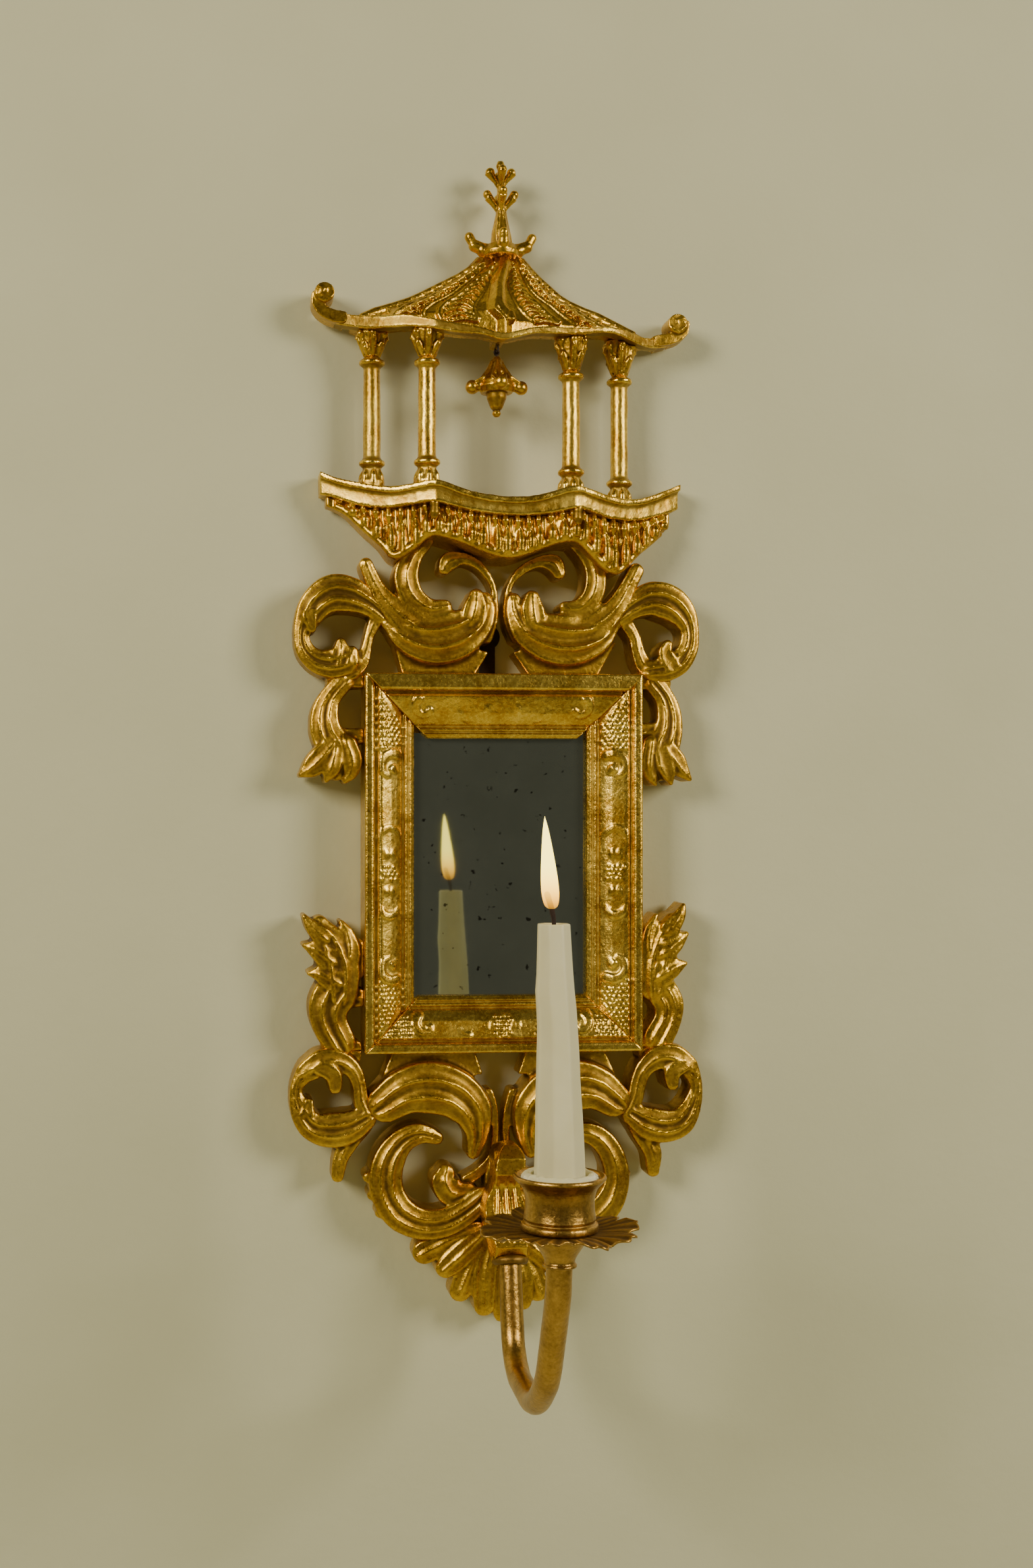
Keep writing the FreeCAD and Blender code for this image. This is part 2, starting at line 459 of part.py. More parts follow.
TENT = [(-76, 73, 36, 141), (-76, 73, 36, 153), (-75, 62.5, 34.5, 158.3), (-64.8, 53, 31.5, 163.3),
        (-48.6, 39.6, 28, 168.4), (-38.5, 31.5, 24.5, 173.5), (-29.3, 26.4, 21, 178.5),
        (-19.7, 20.8, 17.5, 183.6), (-12.6, 16.3, 14.5, 188.7), (-8.1, 12.2, 12.5, 193.7)]
sections = [roof_section(*row) for row in TENT]
ribs = [Part.makeLoft([Part.makePolygon(ring + [ring[0]]) for ring in sections], True, True)]
for k in range(1, 6):
    r = 3.4 if k == 3 else 2.3
    rings = []
    for ring in sections:
        p = ring[k]
        corners = [p + V(-r, 0, 0), p + V(0, -r, 0), p + V(r, 0, 0), p + V(0, r, 0)]
        rings.append(Part.makePolygon(corners + [corners[0]]))
    ribs.append(Part.makeLoft(rings, True, True))
roof = fuse(ribs)
roof = roof.cut(Part.makeBox(220, 10, 80, V(-110, -1.5, 130)))
under = [(x, z + 0.4) for x, z in EAVE_LOW]
corners = [(under[-1], (89, 120)), ((89, 120), (-86, 120)), ((-86, 120), under[0])]
open_side = [spline([(x, 0, z) for x, z in under])]
open_side += [Part.makeLine(V(a[0], 0, a[1]), V(b[0], 0, b[1])) for a, b in corners]
roof = roof.cut(prism_xz(open_side, 1, -60))
# roof and eave are hollowed out from behind, with a block left over each column and over the bell
blocks = [Part.makeCylinder(7.6, 80, V(x, y, 120)) for name, x, y, foot, low, high, top in COLUMNS]
blocks.append(Part.makeBox(5.0, 14.0, 80, V(BELL_X - 2.5, BELL_Y - 7, 120)))
inside = [roof_section(left + 6, right - 6, depth - 6, z - 5) for left, right, depth, z in TENT]
hollow = Part.makeLoft([Part.makePolygon(ring + [ring[0]]) for ring in inside], True, True)
roof = roof.cut(hollow.cut(Part.makeCompound(blocks)))
shapes["pagoda_roof"] = biggest(roof)
PLAN_INSIDE = [(-79, -1), (-79, -7.5), (-58, -21), (-34, -32.5), (0, -36.5), (34, -32.5), (58, -21),
               (81, -7.5), (81, -1)]
eave_inside = polygon_xy(PLAN_INSIDE, 120, 190)
shapes["roof_eave"] = biggest(shapes["roof_eave"].cut(eave_inside))

horns = []
for dx, dy in ((-1, 0), (1, 0), (0, -0.6)):
    path = [(0, 0, 193), (9 * dx, 9 * dy, 194.5), (13.5 * dx, 13.5 * dy, 196.5), (16 * dx, 16 * dy, 201)]
    for k, r in enumerate((3.6, 3.0, 2.4)):
        horns.append(rod(path[k], path[k + 1], r))
        horns.append(ball(*path[k + 1], r))
collar = fuse([turned([(0, 191), (9, 191), (9.5, 193.5), (7, 197.5), (0, 197.5)], 0, 0)] + horns)
collar.translate(V(0.6, -14.0, 0))
shapes["finial_crescent"] = biggest(collar)

spire = [turned([(0, 195), (5.2, 195), (4.7, 203), (3.4, 208.5), (2.4, 213.5), (1.9, 218), (1.9, 229),
                 (1.6, 235), (2.4, 237.2), (1.6, 239.6), (0, 240)], 0, 0)]
for base, out, up in ((214.5, 7.4, 223.6), (227.0, 5.8, 234.8)):
    for k in range(4):
        a = math.radians(90 * k)
        tip = (out * math.cos(a), out * math.sin(a), up)
        spire.append(Part.makeCone(0.9, 2.4, 9.0, V(0.6 * math.cos(a), 0.6 * math.sin(a), base),
                                   V(tip[0], tip[1], up - base)))
        spire.append(ball(tip[0] * 0.93, tip[1] * 0.93, up - 0.8, 2.3))
spire = fuse(spire)
spire.translate(V(0.6, -14.0, 0))
shapes["finial_spire"] = biggest(spire)

# ---- the bell under the roof: it hangs by a wire eye from a staple and swings freely ---------------
half = 4.0
staple = fuse([
    rod((BELL_X, BELL_Y - half, BELL_PIN_Z), (BELL_X, BELL_Y + half, BELL_PIN_Z), PIN_R),
    rod((BELL_X, BELL_Y - half, BELL_PIN_Z), (BELL_X, BELL_Y - half, 146), PIN_R),
    rod((BELL_X, BELL_Y + half, BELL_PIN_Z), (BELL_X, BELL_Y + half, 146), PIN_R),
    ball(BELL_X, BELL_Y - half, BELL_PIN_Z, PIN_R),
    ball(BELL_X, BELL_Y + half, BELL_PIN_Z, PIN_R)])
shapes["bell_staple"] = staple
EYE_WIRE = 0.5
EYE_R = PIN_R + PIN_CLEAR + EYE_WIRE
eye = Part.makeTorus(EYE_R, EYE_WIRE, V(BELL_X, BELL_Y, BELL_PIN_Z), V(0, 1, 0))
shapes["bell_wire"] = fuse([eye, rod((BELL_X, BELL_Y, BELL_PIN_Z - EYE_R),
                                     (BELL_X, BELL_Y, 132.0), EYE_WIRE)])
bell = [turned([(0, 137.7), (1.6, 137.7), (2.6, 136), (3.4, 133), (5.0, 129.5), (8.2, 125.5),
                (9.0, 122.5), (8.0, 119.5), (0, 119)], BELL_X, BELL_Y)]
for k in range(4):
    a = math.radians(90 * k)
    dx = math.cos(a)
    dy = math.sin(a)
    foot = (BELL_X + 4 * dx, BELL_Y + 4 * dy, 125)
    tip = (BELL_X + 12.3 * dx, BELL_Y + 12.3 * dy, 121.9)
    bell.append(rod(foot, tip, 2.7))
    bell.append(ball(tip[0], tip[1], tip[2] + 0.4, 3.5))
shapes["bell_body"] = fuse(bell)
shapes["bell_drop"] = turned([(0, 120.5), (5.4, 120.5), (5.0, 117), (3.2, 112.3), (1.8, 110.7),
                              (2.3, 109.2), (1.4, 107.7), (0, 107.3)], BELL_X, BELL_Y)

# ---- the arm: a leaf bracket on the apron, a looped tube, a leafy drip pan and a turned cup --------
side_view = [(-15, -258), (-24, -254), (-34, -254.5), (-41, -260), (-41.5, -268), (-36, -273),
             (-35, -280), (-40, -288), (-50, -294), (-55, -300), (-51, -307), (-43, -310), (-32, -307),
             (-22, -302), (-15, -300)]
ring = [V(-12, y, z) for y, z in side_view]
flank = Part.Face(Part.makePolygon(ring + [ring[0]])).extrude(V(24, 0, 0))
face_view = [(-5.5, -264), (-3, -257), (3, -253.5), (8, -257), (8.5, -266), (7.5, -276), (9.5, -284),
             (9, -293), (7.5, -303), (7.5, -312), (-8, -312), (-8, -303), (-10, -293), (-10.5, -284),
             (-7, -276)]
bracket = flank.common(prism_xz([spline([(x, 0, z) for x, z in face_view], True)], 0, -60))
bracket.translate(V(ARM_X, 0, 0))

# straight runs of the tube meet at these corners, each rounded to the bend radius beside it
ARM_CORNERS = [((-38, -292), 0), ((-46.5, -306), 60), ((-57.5, -357.5), 24), ((-112, -358.5), 45),
               ((-140, -338), 45), ((-162.5, -296), 45), ((CANDLE_Y, -277), 0)]


def arm_pipe(radius):
    corners = [V(ARM_X, y, z) for (y, z), bend in ARM_CORNERS]
    pieces = []
    start = corners[0]
    for k in range(1, len(corners)):
        here = corners[k]
        before = (here - corners[k - 1]).normalize()
        bend = ARM_CORNERS[k][1]
        if not bend:
            pieces.append(Part.makeCylinder(radius, (here - start).Length, start, before))
            break
        after = (corners[k + 1] - here).normalize()
        turn = before.getAngle(after)
        reach = bend * math.tan(turn / 2)
        into = here - before * reach
        pieces.append(Part.makeCylinder(radius, (into - start).Length, start, before))
        axis = before.cross(after).normalize()
        centre = into + axis.cross(before) * bend
        disc = Part.Face(Part.Wire([Part.makeCircle(radius, into, before)]))
        pieces.append(disc.revolve(centre, axis, math.degrees(turn)))
        start = here + after * reach
    return fuse(pieces)


tube_out = arm_pipe(TUBE_R)
shapes["arm_tube"] = tube_out.cut(arm_pipe(TUBE_BORE_R))
axis = V(0, -0.30, -0.954)
middle = V(ARM_X, -47.3, -308.3)
collar_ring = Part.makeTorus(TUBE_R + 1.2, 2.1, middle, axis)
shapes["arm_collar"] = collar_ring.cut(tube_out)
shapes["arm_bracket"] = biggest(bracket.cut(tube_out).cut(shapes["arm_collar"]))

bracket_screws = []
for z in (-284.0, -296.0):
    shank = rod((ARM_X, -31.0, z), (ARM_X, -3.9, z), 1.75)
    head = Part.makeCone(1.75, 3.4, 1.6, V(ARM_X, -4.6, z), V(0, 1, 0))
    bracket_screws.append(shank.fuse(head))
shapes["bracket_screws"] = Part.makeCompound(bracket_screws)

PAN_Z = -265.6
pan = [turned([(0, PAN_Z - 2), (9, PAN_Z - 2), (18, PAN_Z - 1.6), (26, PAN_Z - 0.8), (31, PAN_Z - 0.6),
               (31, PAN_Z + 1.8), (25, PAN_Z + 1.4), (16, PAN_Z), (0, PAN_Z)], ARM_X, CANDLE_Y)]
LOBES = 10
for k in range(LOBES):
    a = 2 * math.pi * (k + 0.5) / LOBES
    cx = math.cos(a)
    cy = math.sin(a)
    at = V(ARM_X + (PAN_R - 8.5) * cx, CANDLE_Y + (PAN_R - 8.5) * cy, PAN_Z - 0.8)
    lobe = Part.makeCylinder(8.5, 2.4, at, V(0.28 * cx, 0.28 * cy, 1))
    pan.append(lobe)
pan = fuse(pan)
shapes["drip_pan"] = pan
shapes["arm_ferrule"] = turned([
    (0, -281.0), (6.3, -281.0), (7.3, -280.0), (6.5, -278.6), (7.2, -276.4), (10, -272.0), (13, -267.6),
    (0, -267.6)], ARM_X, CANDLE_Y)
shapes["candle_cup"] = turned([
    (0, -265.6), (15.2, -265.6), (16.2, -264.6), (16.2, -262.6), (15.0, -261.9), (14.8, -261.2),
    (15.2, -260.4), (14.7, -256.0), (14.8, -251.5), (16.0, -247.4), (18.8, -244.2), (19.6, -243.2),
    (19.3, -242.2), (17.6, -242.2), (15.8, -244.8), (14.0, -248.0), (SOCKET_R, -249.5),
    (SOCKET_R, -259.5), (0, -259.5)], ARM_X, CANDLE_Y)
shapes["wax_packing"] = turned([
    (SOCKET_R, -249.5), (14.0, -248.0), (15.8, -244.8), (16.6, -243.6), (15.2, -241.6), (13.6, -241.0),
    (SOCKET_R, -241.6)], ARM_X, CANDLE_Y)
shapes["cup_stud"] = turned([
    (0, -258.5), (4.6, -258.5), (4.6, -259.5), (2.0, -259.5), (2.0, -283.0), (0, -283.0)], ARM_X, CANDLE_Y)
shapes["arm_plug"] = biggest(arm_pipe(TUBE_BORE_R).common(
    Part.makeBox(30, 40, 22, V(ARM_X - 15, CANDLE_Y - 20, -298))))


def octagon(width, z):
    r = width / 2 / math.cos(math.pi / 8)
    ring = [V(r * math.cos(math.pi * (k + 0.5) / 4), r * math.sin(math.pi * (k + 0.5) / 4), z)
            for k in range(8)]
    return Part.makePolygon(ring + [ring[0]])


candle = Part.makeLoft([octagon(CANDLE_BASE_W, CANDLE_BOT), octagon(CANDLE_TOP_W, CANDLE_TOP)], True, True)
candle.translate(V(ARM_X, CANDLE_Y, 0))
wick = rod((ARM_X, CANDLE_Y, CANDLE_TOP - 14), (ARM_X, CANDLE_Y, CANDLE_TOP + 9), 0.75)
shapes["candle"] = candle.cut(wick)
shapes["candle_wick"] = wick

# ---- fit the pieces to each other: each joint is a plain glued or seated face ---------------------
RAILS = ["frame_rail_top", "frame_rail_right", "frame_rail_bottom", "frame_rail_left"]
for name in RAILS:
    shapes[name] = biggest(shapes[name].cut(shapes["hanger_plate"]).cut(shapes["hanger_screws"])
                           .cut(shapes["backing_brads"]))
trim("crest_scroll_left", "frame_rail_top", "balcony_valance")
trim("crest_scroll_right", "frame_rail_top", "balcony_valance")
trim("crest_volute_left", "frame_rail_top", "frame_rail_left", "crest_scroll_left")
trim("crest_volute_right", "frame_rail_top", "frame_rail_right", "crest_scroll_right")
trim("side_leaf_upper_left", "frame_rail_left", "frame_rail_top", "crest_volute_left")
trim("side_leaf_upper_right", "frame_rail_right", "frame_rail_top", "crest_volute_right")
trim("side_leaf_lower_left", "frame_rail_left", "frame_rail_bottom")
trim("side_leaf_lower_right", "frame_rail_right", "frame_rail_bottom")
trim("apron_volute_left", "frame_rail_left", "frame_rail_bottom", "side_leaf_lower_left")
trim("apron_volute_right", "frame_rail_right", "frame_rail_bottom", "side_leaf_lower_right")
trim("apron_spine", "bracket_screws")
trim("apron_scroll_left", "frame_rail_bottom", "apron_volute_left", "apron_spine")
trim("apron_scroll_right", "frame_rail_bottom", "apron_volute_right", "apron_spine", "apron_scroll_left")
trim("apron_shell", "apron_spine", "apron_scroll_left", "apron_scroll_right")
trim("arm_bracket", "apron_spine", "apron_scroll_left", "apron_scroll_right", "apron_shell",
     "bracket_screws")
trim("arm_collar", "apron_shell")
trim("arm_tube", "apron_shell")
trim("balcony_valance", "balcony_cornice")
shapes["cornice_pegs"] = Part.makeCompound(
    [biggest(p.cut(shapes["balcony_cornice"]).cut(shapes["balcony_valance"]))
     for p in shapes["cornice_pegs"].Solids])
trim("pagoda_roof", "roof_eave")
trim("roof_curl_left", "roof_eave", "pagoda_roof")
trim("roof_curl_right", "roof_eave", "pagoda_roof")
trim("finial_crescent", "pagoda_roof")
trim("finial_spire", "finial_crescent", "pagoda_roof")
for name, *rest in COLUMNS:
    trim("column_" + name, "balcony_cornice")
    trim("capital_" + name, "roof_eave", "pagoda_roof", "column_" + name)
trim("roof_eave", "bell_staple")
trim("pagoda_roof", "bell_staple")
trim("bell_body", "bell_wire", "bell_drop")
trim("bell_drop", "bell_wire")
trim("candle_cup", "cup_stud")
trim("drip_pan", "candle_cup", "cup_stud", "arm_ferrule")
trim("arm_ferrule", "arm_tube", "arm_plug", "cup_stud")
trim("arm_plug", "cup_stud")

# ---- move the origin to the hanging hole and write one file for each piece ------------------------
os.makedirs("parts", exist_ok=True)
for old in os.listdir("parts"):
    if old.endswith(".step"):
        os.remove(os.path.join("parts", old))
for name in sorted(shapes):
    shape = shapes[name]
    shape.translate(V(-HANG_X, 0, 0))
    box = shape.BoundBox
    print("%-24s solids %d  valid %s  volume %9.1f  x %7.1f %7.1f  y %7.1f %7.1f  z %7.1f %7.1f" % (
        name, len(shape.Solids), shape.isValid(), shape.Volume, box.XMin, box.XMax, box.YMin, box.YMax,
        box.ZMin, box.ZMax))
    shape.exportStep("parts/" + name + ".step")
print(len(shapes), "pieces")
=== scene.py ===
import math
import random

import bpy
from mathutils import Matrix, Vector
from mathutils.bvhtree import BVHTree


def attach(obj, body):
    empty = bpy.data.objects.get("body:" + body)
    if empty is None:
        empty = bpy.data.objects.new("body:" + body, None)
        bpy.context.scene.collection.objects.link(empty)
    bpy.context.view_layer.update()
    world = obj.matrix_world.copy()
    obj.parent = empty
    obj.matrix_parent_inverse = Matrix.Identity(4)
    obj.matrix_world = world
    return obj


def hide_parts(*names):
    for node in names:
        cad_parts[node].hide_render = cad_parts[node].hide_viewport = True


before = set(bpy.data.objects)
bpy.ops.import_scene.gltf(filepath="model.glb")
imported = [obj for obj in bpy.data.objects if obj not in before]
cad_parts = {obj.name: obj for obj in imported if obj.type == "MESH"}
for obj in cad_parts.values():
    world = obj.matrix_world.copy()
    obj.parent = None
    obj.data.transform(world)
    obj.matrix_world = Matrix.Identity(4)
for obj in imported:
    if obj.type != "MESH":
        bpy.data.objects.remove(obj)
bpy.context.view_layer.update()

bpy.ops.object.select_all(action="DESELECT")
random.seed(7)

# ---- crest scrolls and volutes --------------------------------------------------------------------
# Two leafy C-scrolls stand on the top rail and a volute curls out beyond each of them.  Limewood cut
# with gouges in deep valleys, covered in gesso and red bole, then water gilt and rubbed at the tips.
# Each piece is glued down on its flat foot.
MM = 0.001
CENTRE = 4.2          # the carving's centre line stands this far right of the hanging hole
CARVE_BACK = 3.0      # the backs of the carvings stay this far off the wall
STAND = Matrix.Translation((CENTRE * MM, 0, 0)) @ Matrix.Rotation(math.pi / 2, 4, "X") @ Matrix.Scale(MM, 4)
PLACE = Matrix.Translation((CENTRE * MM, 0, 0)) @ Matrix.Scale(MM, 4)


def linear(hex_colour):
    parts = [int(hex_colour[i:i + 2], 16) / 255 for i in (1, 3, 5)]
    return tuple(p / 12.92 if p <= 0.04045 else ((p + 0.055) / 1.055) ** 2.4 for p in parts) + (1.0,)


def add(tree, kind, inputs=None, **settings):
    node = tree.nodes.new("ShaderNode" + kind)
    for key, value in settings.items():
        setattr(node, key, value)
    for key, value in (inputs or {}).items():
        if isinstance(value, bpy.types.NodeSocket):
            tree.links.new(value, node.inputs[key])
        else:
            node.inputs[key].default_value = value
    return node


def new_material(name):
    material = bpy.data.materials.new(name)
    material.use_nodes = True
    material.node_tree.nodes.clear()
    return material, material.node_tree


def gilding(name, light, deep, bole, wear, dullness, mottle=1.0, hollow_shade_strength=0.92):
    """Burnished leaf: light where it was rubbed, painted shade that darkens the hollows to brown gold, red
    clay at the worn tips.
    """
    material, tree = new_material(name)
    place = add(tree, "TexCoord").outputs["Object"]
    leaf = add(tree, "TexNoise", {"Vector": place, "Scale": 70.0, "Detail": 3.0, "Roughness": 0.6})
    grain = add(tree, "TexNoise", {"Vector": place, "Scale": 620.0, "Detail": 4.0, "Roughness": 0.65})
    rubs = add(tree, "TexNoise", {"Vector": place, "Scale": 150.0, "Detail": 5.0, "Roughness": 0.7})
    relief = add(tree, "Attribute", attribute_name="relief").outputs["Fac"]
    tone = add(tree, "Math", {0: leaf.outputs["Fac"], 1: grain.outputs["Fac"]}, operation="ADD")
    tone = add(tree, "MapRange", {"Value": tone.outputs[0], 1: 1.0 - 0.32 * mottle, 2: 1.0 + 0.3 * mottle})
    gold = add(tree, "Mix", {"Factor": tone.outputs[0], 6: linear(deep), 7: linear(light)},
               data_type="RGBA")
    soft = add(tree, "Math", {0: rubs.outputs["Fac"], 1: 0.22, 2: relief}, operation="MULTIPLY_ADD")
    # painted shade: where the relief reads low, in the hollows, the gold is mixed towards a dark brown that
    # stays metallic
    hollow_shade = add(tree, "MapRange", {"Value": soft.outputs[0], 1: 0.60, 2: 0.34, 3: 0.0, 4: hollow_shade_strength})
    brown = add(tree, "Mix", {"Factor": hollow_shade.outputs[0], 6: gold.outputs[2], 7: linear("#4a3208")},
                data_type="RGBA")
    edge = add(tree, "Math", {0: rubs.outputs["Fac"], 1: 0.9, 2: relief}, operation="MULTIPLY_ADD")
    worn = add(tree, "MapRange", {"Value": edge.outputs[0], 1: 1.36 - wear, 2: 1.52 - wear,
                                  3: 0.0, 4: 0.85})
    clay = add(tree, "Mix", {"Factor": worn.outputs[0], 6: brown.outputs[2], 7: linear(bole)},
               data_type="RGBA")
    wear_and_shade = add(tree, "Math", {0: worn.outputs[0], 1: hollow_shade.outputs[0]}, operation="MAXIMUM")
    metal = add(tree, "MapRange", {"Value": wear_and_shade.outputs[0], 3: 1.0, 4: 0.8})
    rough = add(tree, "MapRange", {"Value": wear_and_shade.outputs[0], 3: dullness, 4: 0.5})
    rougher = add(tree, "Math", {0: grain.outputs["Fac"], 1: 0.16, 2: rough.outputs[0]},
                  operation="MULTIPLY_ADD")
    bump = add(tree, "Bump", {"Height": grain.outputs["Fac"], "Strength": 0.35, "Distance": 0.0004})
    bump = add(tree, "Bump", {"Height": rubs.outputs["Fac"], "Strength": 0.4, "Distance": 0.0008,
                              "Normal": bump.outputs[0]})
    shader = add(tree, "BsdfPrincipled", {
        "Base Color": clay.outputs[2], "Metallic": metal.outputs[0], "Roughness": rougher.outputs[0],
        "Normal": bump.outputs[0]})
    add(tree, "OutputMaterial", {"Surface": shader.outputs[0]})
    return material


# water gilding on red bole: bright and warm where burnished, darkened brown in the cuts by painted shade
carved_gold = gilding("water_gilt_carving", "#ecc044", "#a67818", "#80561c", -0.14, 0.21)


def only(*objects):
    bpy.ops.object.select_all(action="DESELECT")
    for item in objects:
        item.select_set(True)
    bpy.context.view_layer.objects.active = objects[0]


def joined(parts):
    only(*parts)
    if len(parts) > 1:
        bpy.ops.object.join()
    return bpy.context.object


def finish(item, kind, **settings):
    """One modifier, applied."""
    modifier = item.modifiers.new(kind.lower(), kind)
    for key, value in settings.items():
        setattr(modifier, key, value)
    only(item)
    bpy.ops.object.modifier_apply(modifier=modifier.name)


def pick_faces(item, wanted):
    """Leaves the item in edit mode with only the wanted faces selected."""
    only(item)
    bpy.ops.object.mode_set(mode="EDIT")
    bpy.ops.mesh.select_mode(type="FACE")
    bpy.ops.mesh.select_all(action="DESELECT")
    bpy.ops.object.mode_set(mode="OBJECT")
    for face in item.data.polygons:
        face.select = wanted(face)
    bpy.ops.object.mode_set(mode="EDIT")


def eased(points, steps=5):
    """More points on a smooth line through the given ones."""
    line = []
    last = len(points) - 1
    for i in range(last):
        a, b, c, d = (points[max(i - 1, 0)], points[i], points[i + 1], points[min(i + 2, last)])
        for k in range(steps):
            t = k / steps
            line.append(tuple(
                0.5 * (2 * q + (r - p) * t + (2 * p - 5 * q + 4 * r - s) * t * t
                       + (3 * q - p - 3 * r + s) * t ** 3) for p, q, r, s in zip(a, b, c, d)))
    line.append(tuple(points[-1]))
    return line


def round_ended(points):
    """(x, z, half width) along a band, with a round end added at each end."""
    line = eased(points)

    def tip(end, inner):
        x, z, w = line[end]
        away = math.hypot(x - line[inner][0], z - line[inner][1])
        dx = (x - line[inner][0]) / away
        dz = (z - line[inner][1]) / away
        return [(x + dx * w * math.sin(a), z + dz * w * math.sin(a), w * math.cos(a))
                for a in (0.45, 0.85, 1.15, 1.4)]

    return tip(0, 1)[::-1] + line + tip(-1, -2)


def gouge_section(name, valleys, depth, arch, count=36):
    """Section of a carved band: rounded valleys between crisp ridges, on a flat bottom."""
    shape = bpy.data.curves.new(name, "CURVE")
    spline = shape.splines.new("POLY")
    spline.points.add(count + 1)
    ring = [(-1, 0)]
    for i in range(count):
        u = -1 + 2 * (i + 0.5) / count
        crown = arch * math.sqrt(1 - abs(u) ** 5)
        cut = abs(math.sin(math.pi * valleys * (u + 1) / 2)) if valleys else 0
        ring.append((u, crown * (1 - depth * cut)))
    ring.append((1, 0))
    for point, (u, h) in zip(spline.points, ring):
        point.co = (u, h, 0, 1)
    spline.use_cyclic_u = True
    item = bpy.data.objects.new(name, shape)
    bpy.context.scene.collection.objects.link(item)
    return item


gouges = [gouge_section("stem_section", 0, 0.0, 0.85), gouge_section("leaf_section_1", 1, 0.40, 0.66),
          gouge_section("leaf_section_2", 2, 0.40, 0.60), gouge_section("leaf_section_3", 3, 0.42, 0.52)]


def as_mesh(shape, name):
    item = bpy.data.objects.new(name, shape)
    bpy.context.scene.collection.objects.link(item)
    only(item)
    bpy.ops.object.convert(target="MESH")
    return bpy.context.object


def cut_band(points, front, section=None):
    """One gouge-cut band, lying flat: its bottom a little behind the ground it rises from."""
    widest = max(w for x, z, w in points)
    if section is None:
        section = gouges[0 if widest < 2.7 else 1 if widest < 4.6 else 2 if widest < 8.3 else 3]
    shape = bpy.data.curves.new("band", "CURVE")
    shape.dimensions = "3D"
    shape.twist_mode = "Z_UP"
    shape.bevel_mode = "OBJECT"
    shape.bevel_object = section
    shape.use_fill_caps = True
    line = round_ended(points)
    spline = shape.splines.new("POLY")
    spline.points.add(len(line) - 1)
    for point, (x, z, w) in zip(spline.points, line):
        point.co = (x, z, -front - 1.0, 1)
        point.radius = max(w, 0.2)
    return as_mesh(shape, "band")


def cut_block(points, front):
    """A plain foot left on a carving, where it is glued on."""
    bpy.ops.object.select_all(action="DESELECT")
    bpy.ops.mesh.primitive_circle_add(vertices=len(points), radius=1, fill_type="NGON")
    block = bpy.context.object
    for vertex, (x, z) in zip(block.data.vertices, points):
        vertex.co = (x, z, -front)
    only(block)
    bpy.ops.object.mode_set(mode="EDIT")
    bpy.ops.mesh.normals_make_consistent(inside=False)
    bpy.ops.object.mode_set(mode="OBJECT")
    if block.data.polygons[0].normal.z < 0:
        block.data.flip_normals()
    finish(block, "SOLIDIFY", thickness=-front - CARVE_BACK, offset=-1)
    return block


hand_cut = bpy.data.textures.new("hand_cut", "CLOUDS")
hand_cut.noise_scale = 0.009
hand_cut.noise_depth = 2


def gesso(item, name, body, nodes, material, voxel=0.8, soften=2, ripple=0.5):
    """The cut shape takes its coats of gesso: everything grows together and the edges soften."""
    item.name = name
    item.data.name = name
    finish(item, "REMESH", mode="VOXEL", voxel_size=voxel * MM)
    if soften:
        finish(item, "SMOOTH", factor=0.5, iterations=soften)
    if ripple:
        finish(item, "DISPLACE", texture=hand_cut, texture_coords="LOCAL", strength=ripple * MM,
               mid_level=0.5)
    coat(item, body, nodes, material)


def settle(item, body, nodes, material):
    """Gives a piece its finish and its place in the part."""
    item.data.materials.clear()
    item.data.materials.append(material)
    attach(item, body)
    if nodes:
        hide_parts(*nodes)


def coat(item, body, nodes, material, even=False):
    """Records how proud each place stands; a smooth tube is even.  The finish reads it."""
    mesh = item.data
    for attribute in list(mesh.color_attributes):
        mesh.color_attributes.remove(attribute)
    mesh.color_attributes.new(name="relief", type="BYTE_COLOR", domain="CORNER")
    mesh.color_attributes.active_color = mesh.color_attributes["relief"]
    only(item)
    # the hollows found here are where the gilding paints shade
    bpy.ops.paint.vertex_color_dirt(blur_strength=1.0, blur_iterations=2, clean_angle=math.radians(110),
                                    dirt_angle=math.radians(65))
    if even:
        mesh.color_attributes["relief"].data.foreach_set("color", [0.62, 0.62, 0.62, 1.0] * len(mesh.loops))
    bpy.ops.object.shade_smooth()
    settle(item, body, nodes, material)


def trimmed(item, place, outward):
    """Saws off what is beyond a plane, and closes the cut."""
    only(item)
    bpy.ops.object.mode_set(mode="EDIT")
    bpy.ops.mesh.select_all(action="SELECT")
    bpy.ops.mesh.bisect(plane_co=place, plane_no=outward, use_fill=True, clear_outer=True)
    bpy.ops.object.mode_set(mode="OBJECT")


def carve(name, strokes, blocks=(), saws=()):
    """A carving made of gouge-cut strokes and plain feet, sawn off along the given planes."""
    parts = [cut_band(points, front) for points, front in strokes]
    item = joined(parts)
    pick_faces(item, lambda face: face.normal.z < -0.9)
    bpy.ops.mesh.extrude_region_move(TRANSFORM_OT_translate={"value": (0, 0, -5)})
    bpy.ops.transform.resize(value=(1, 1, 0), center_override=(0, 0, CARVE_BACK))
    bpy.ops.object.mode_set(mode="OBJECT")
    item = joined([item] + [cut_block(points, front) for points, front in blocks])
    for place, outward in saws:
        trimmed(item, place, outward)
    item.data.transform(STAND)
    gesso(item, name + "_carved", "sconce", [name], carved_gold)


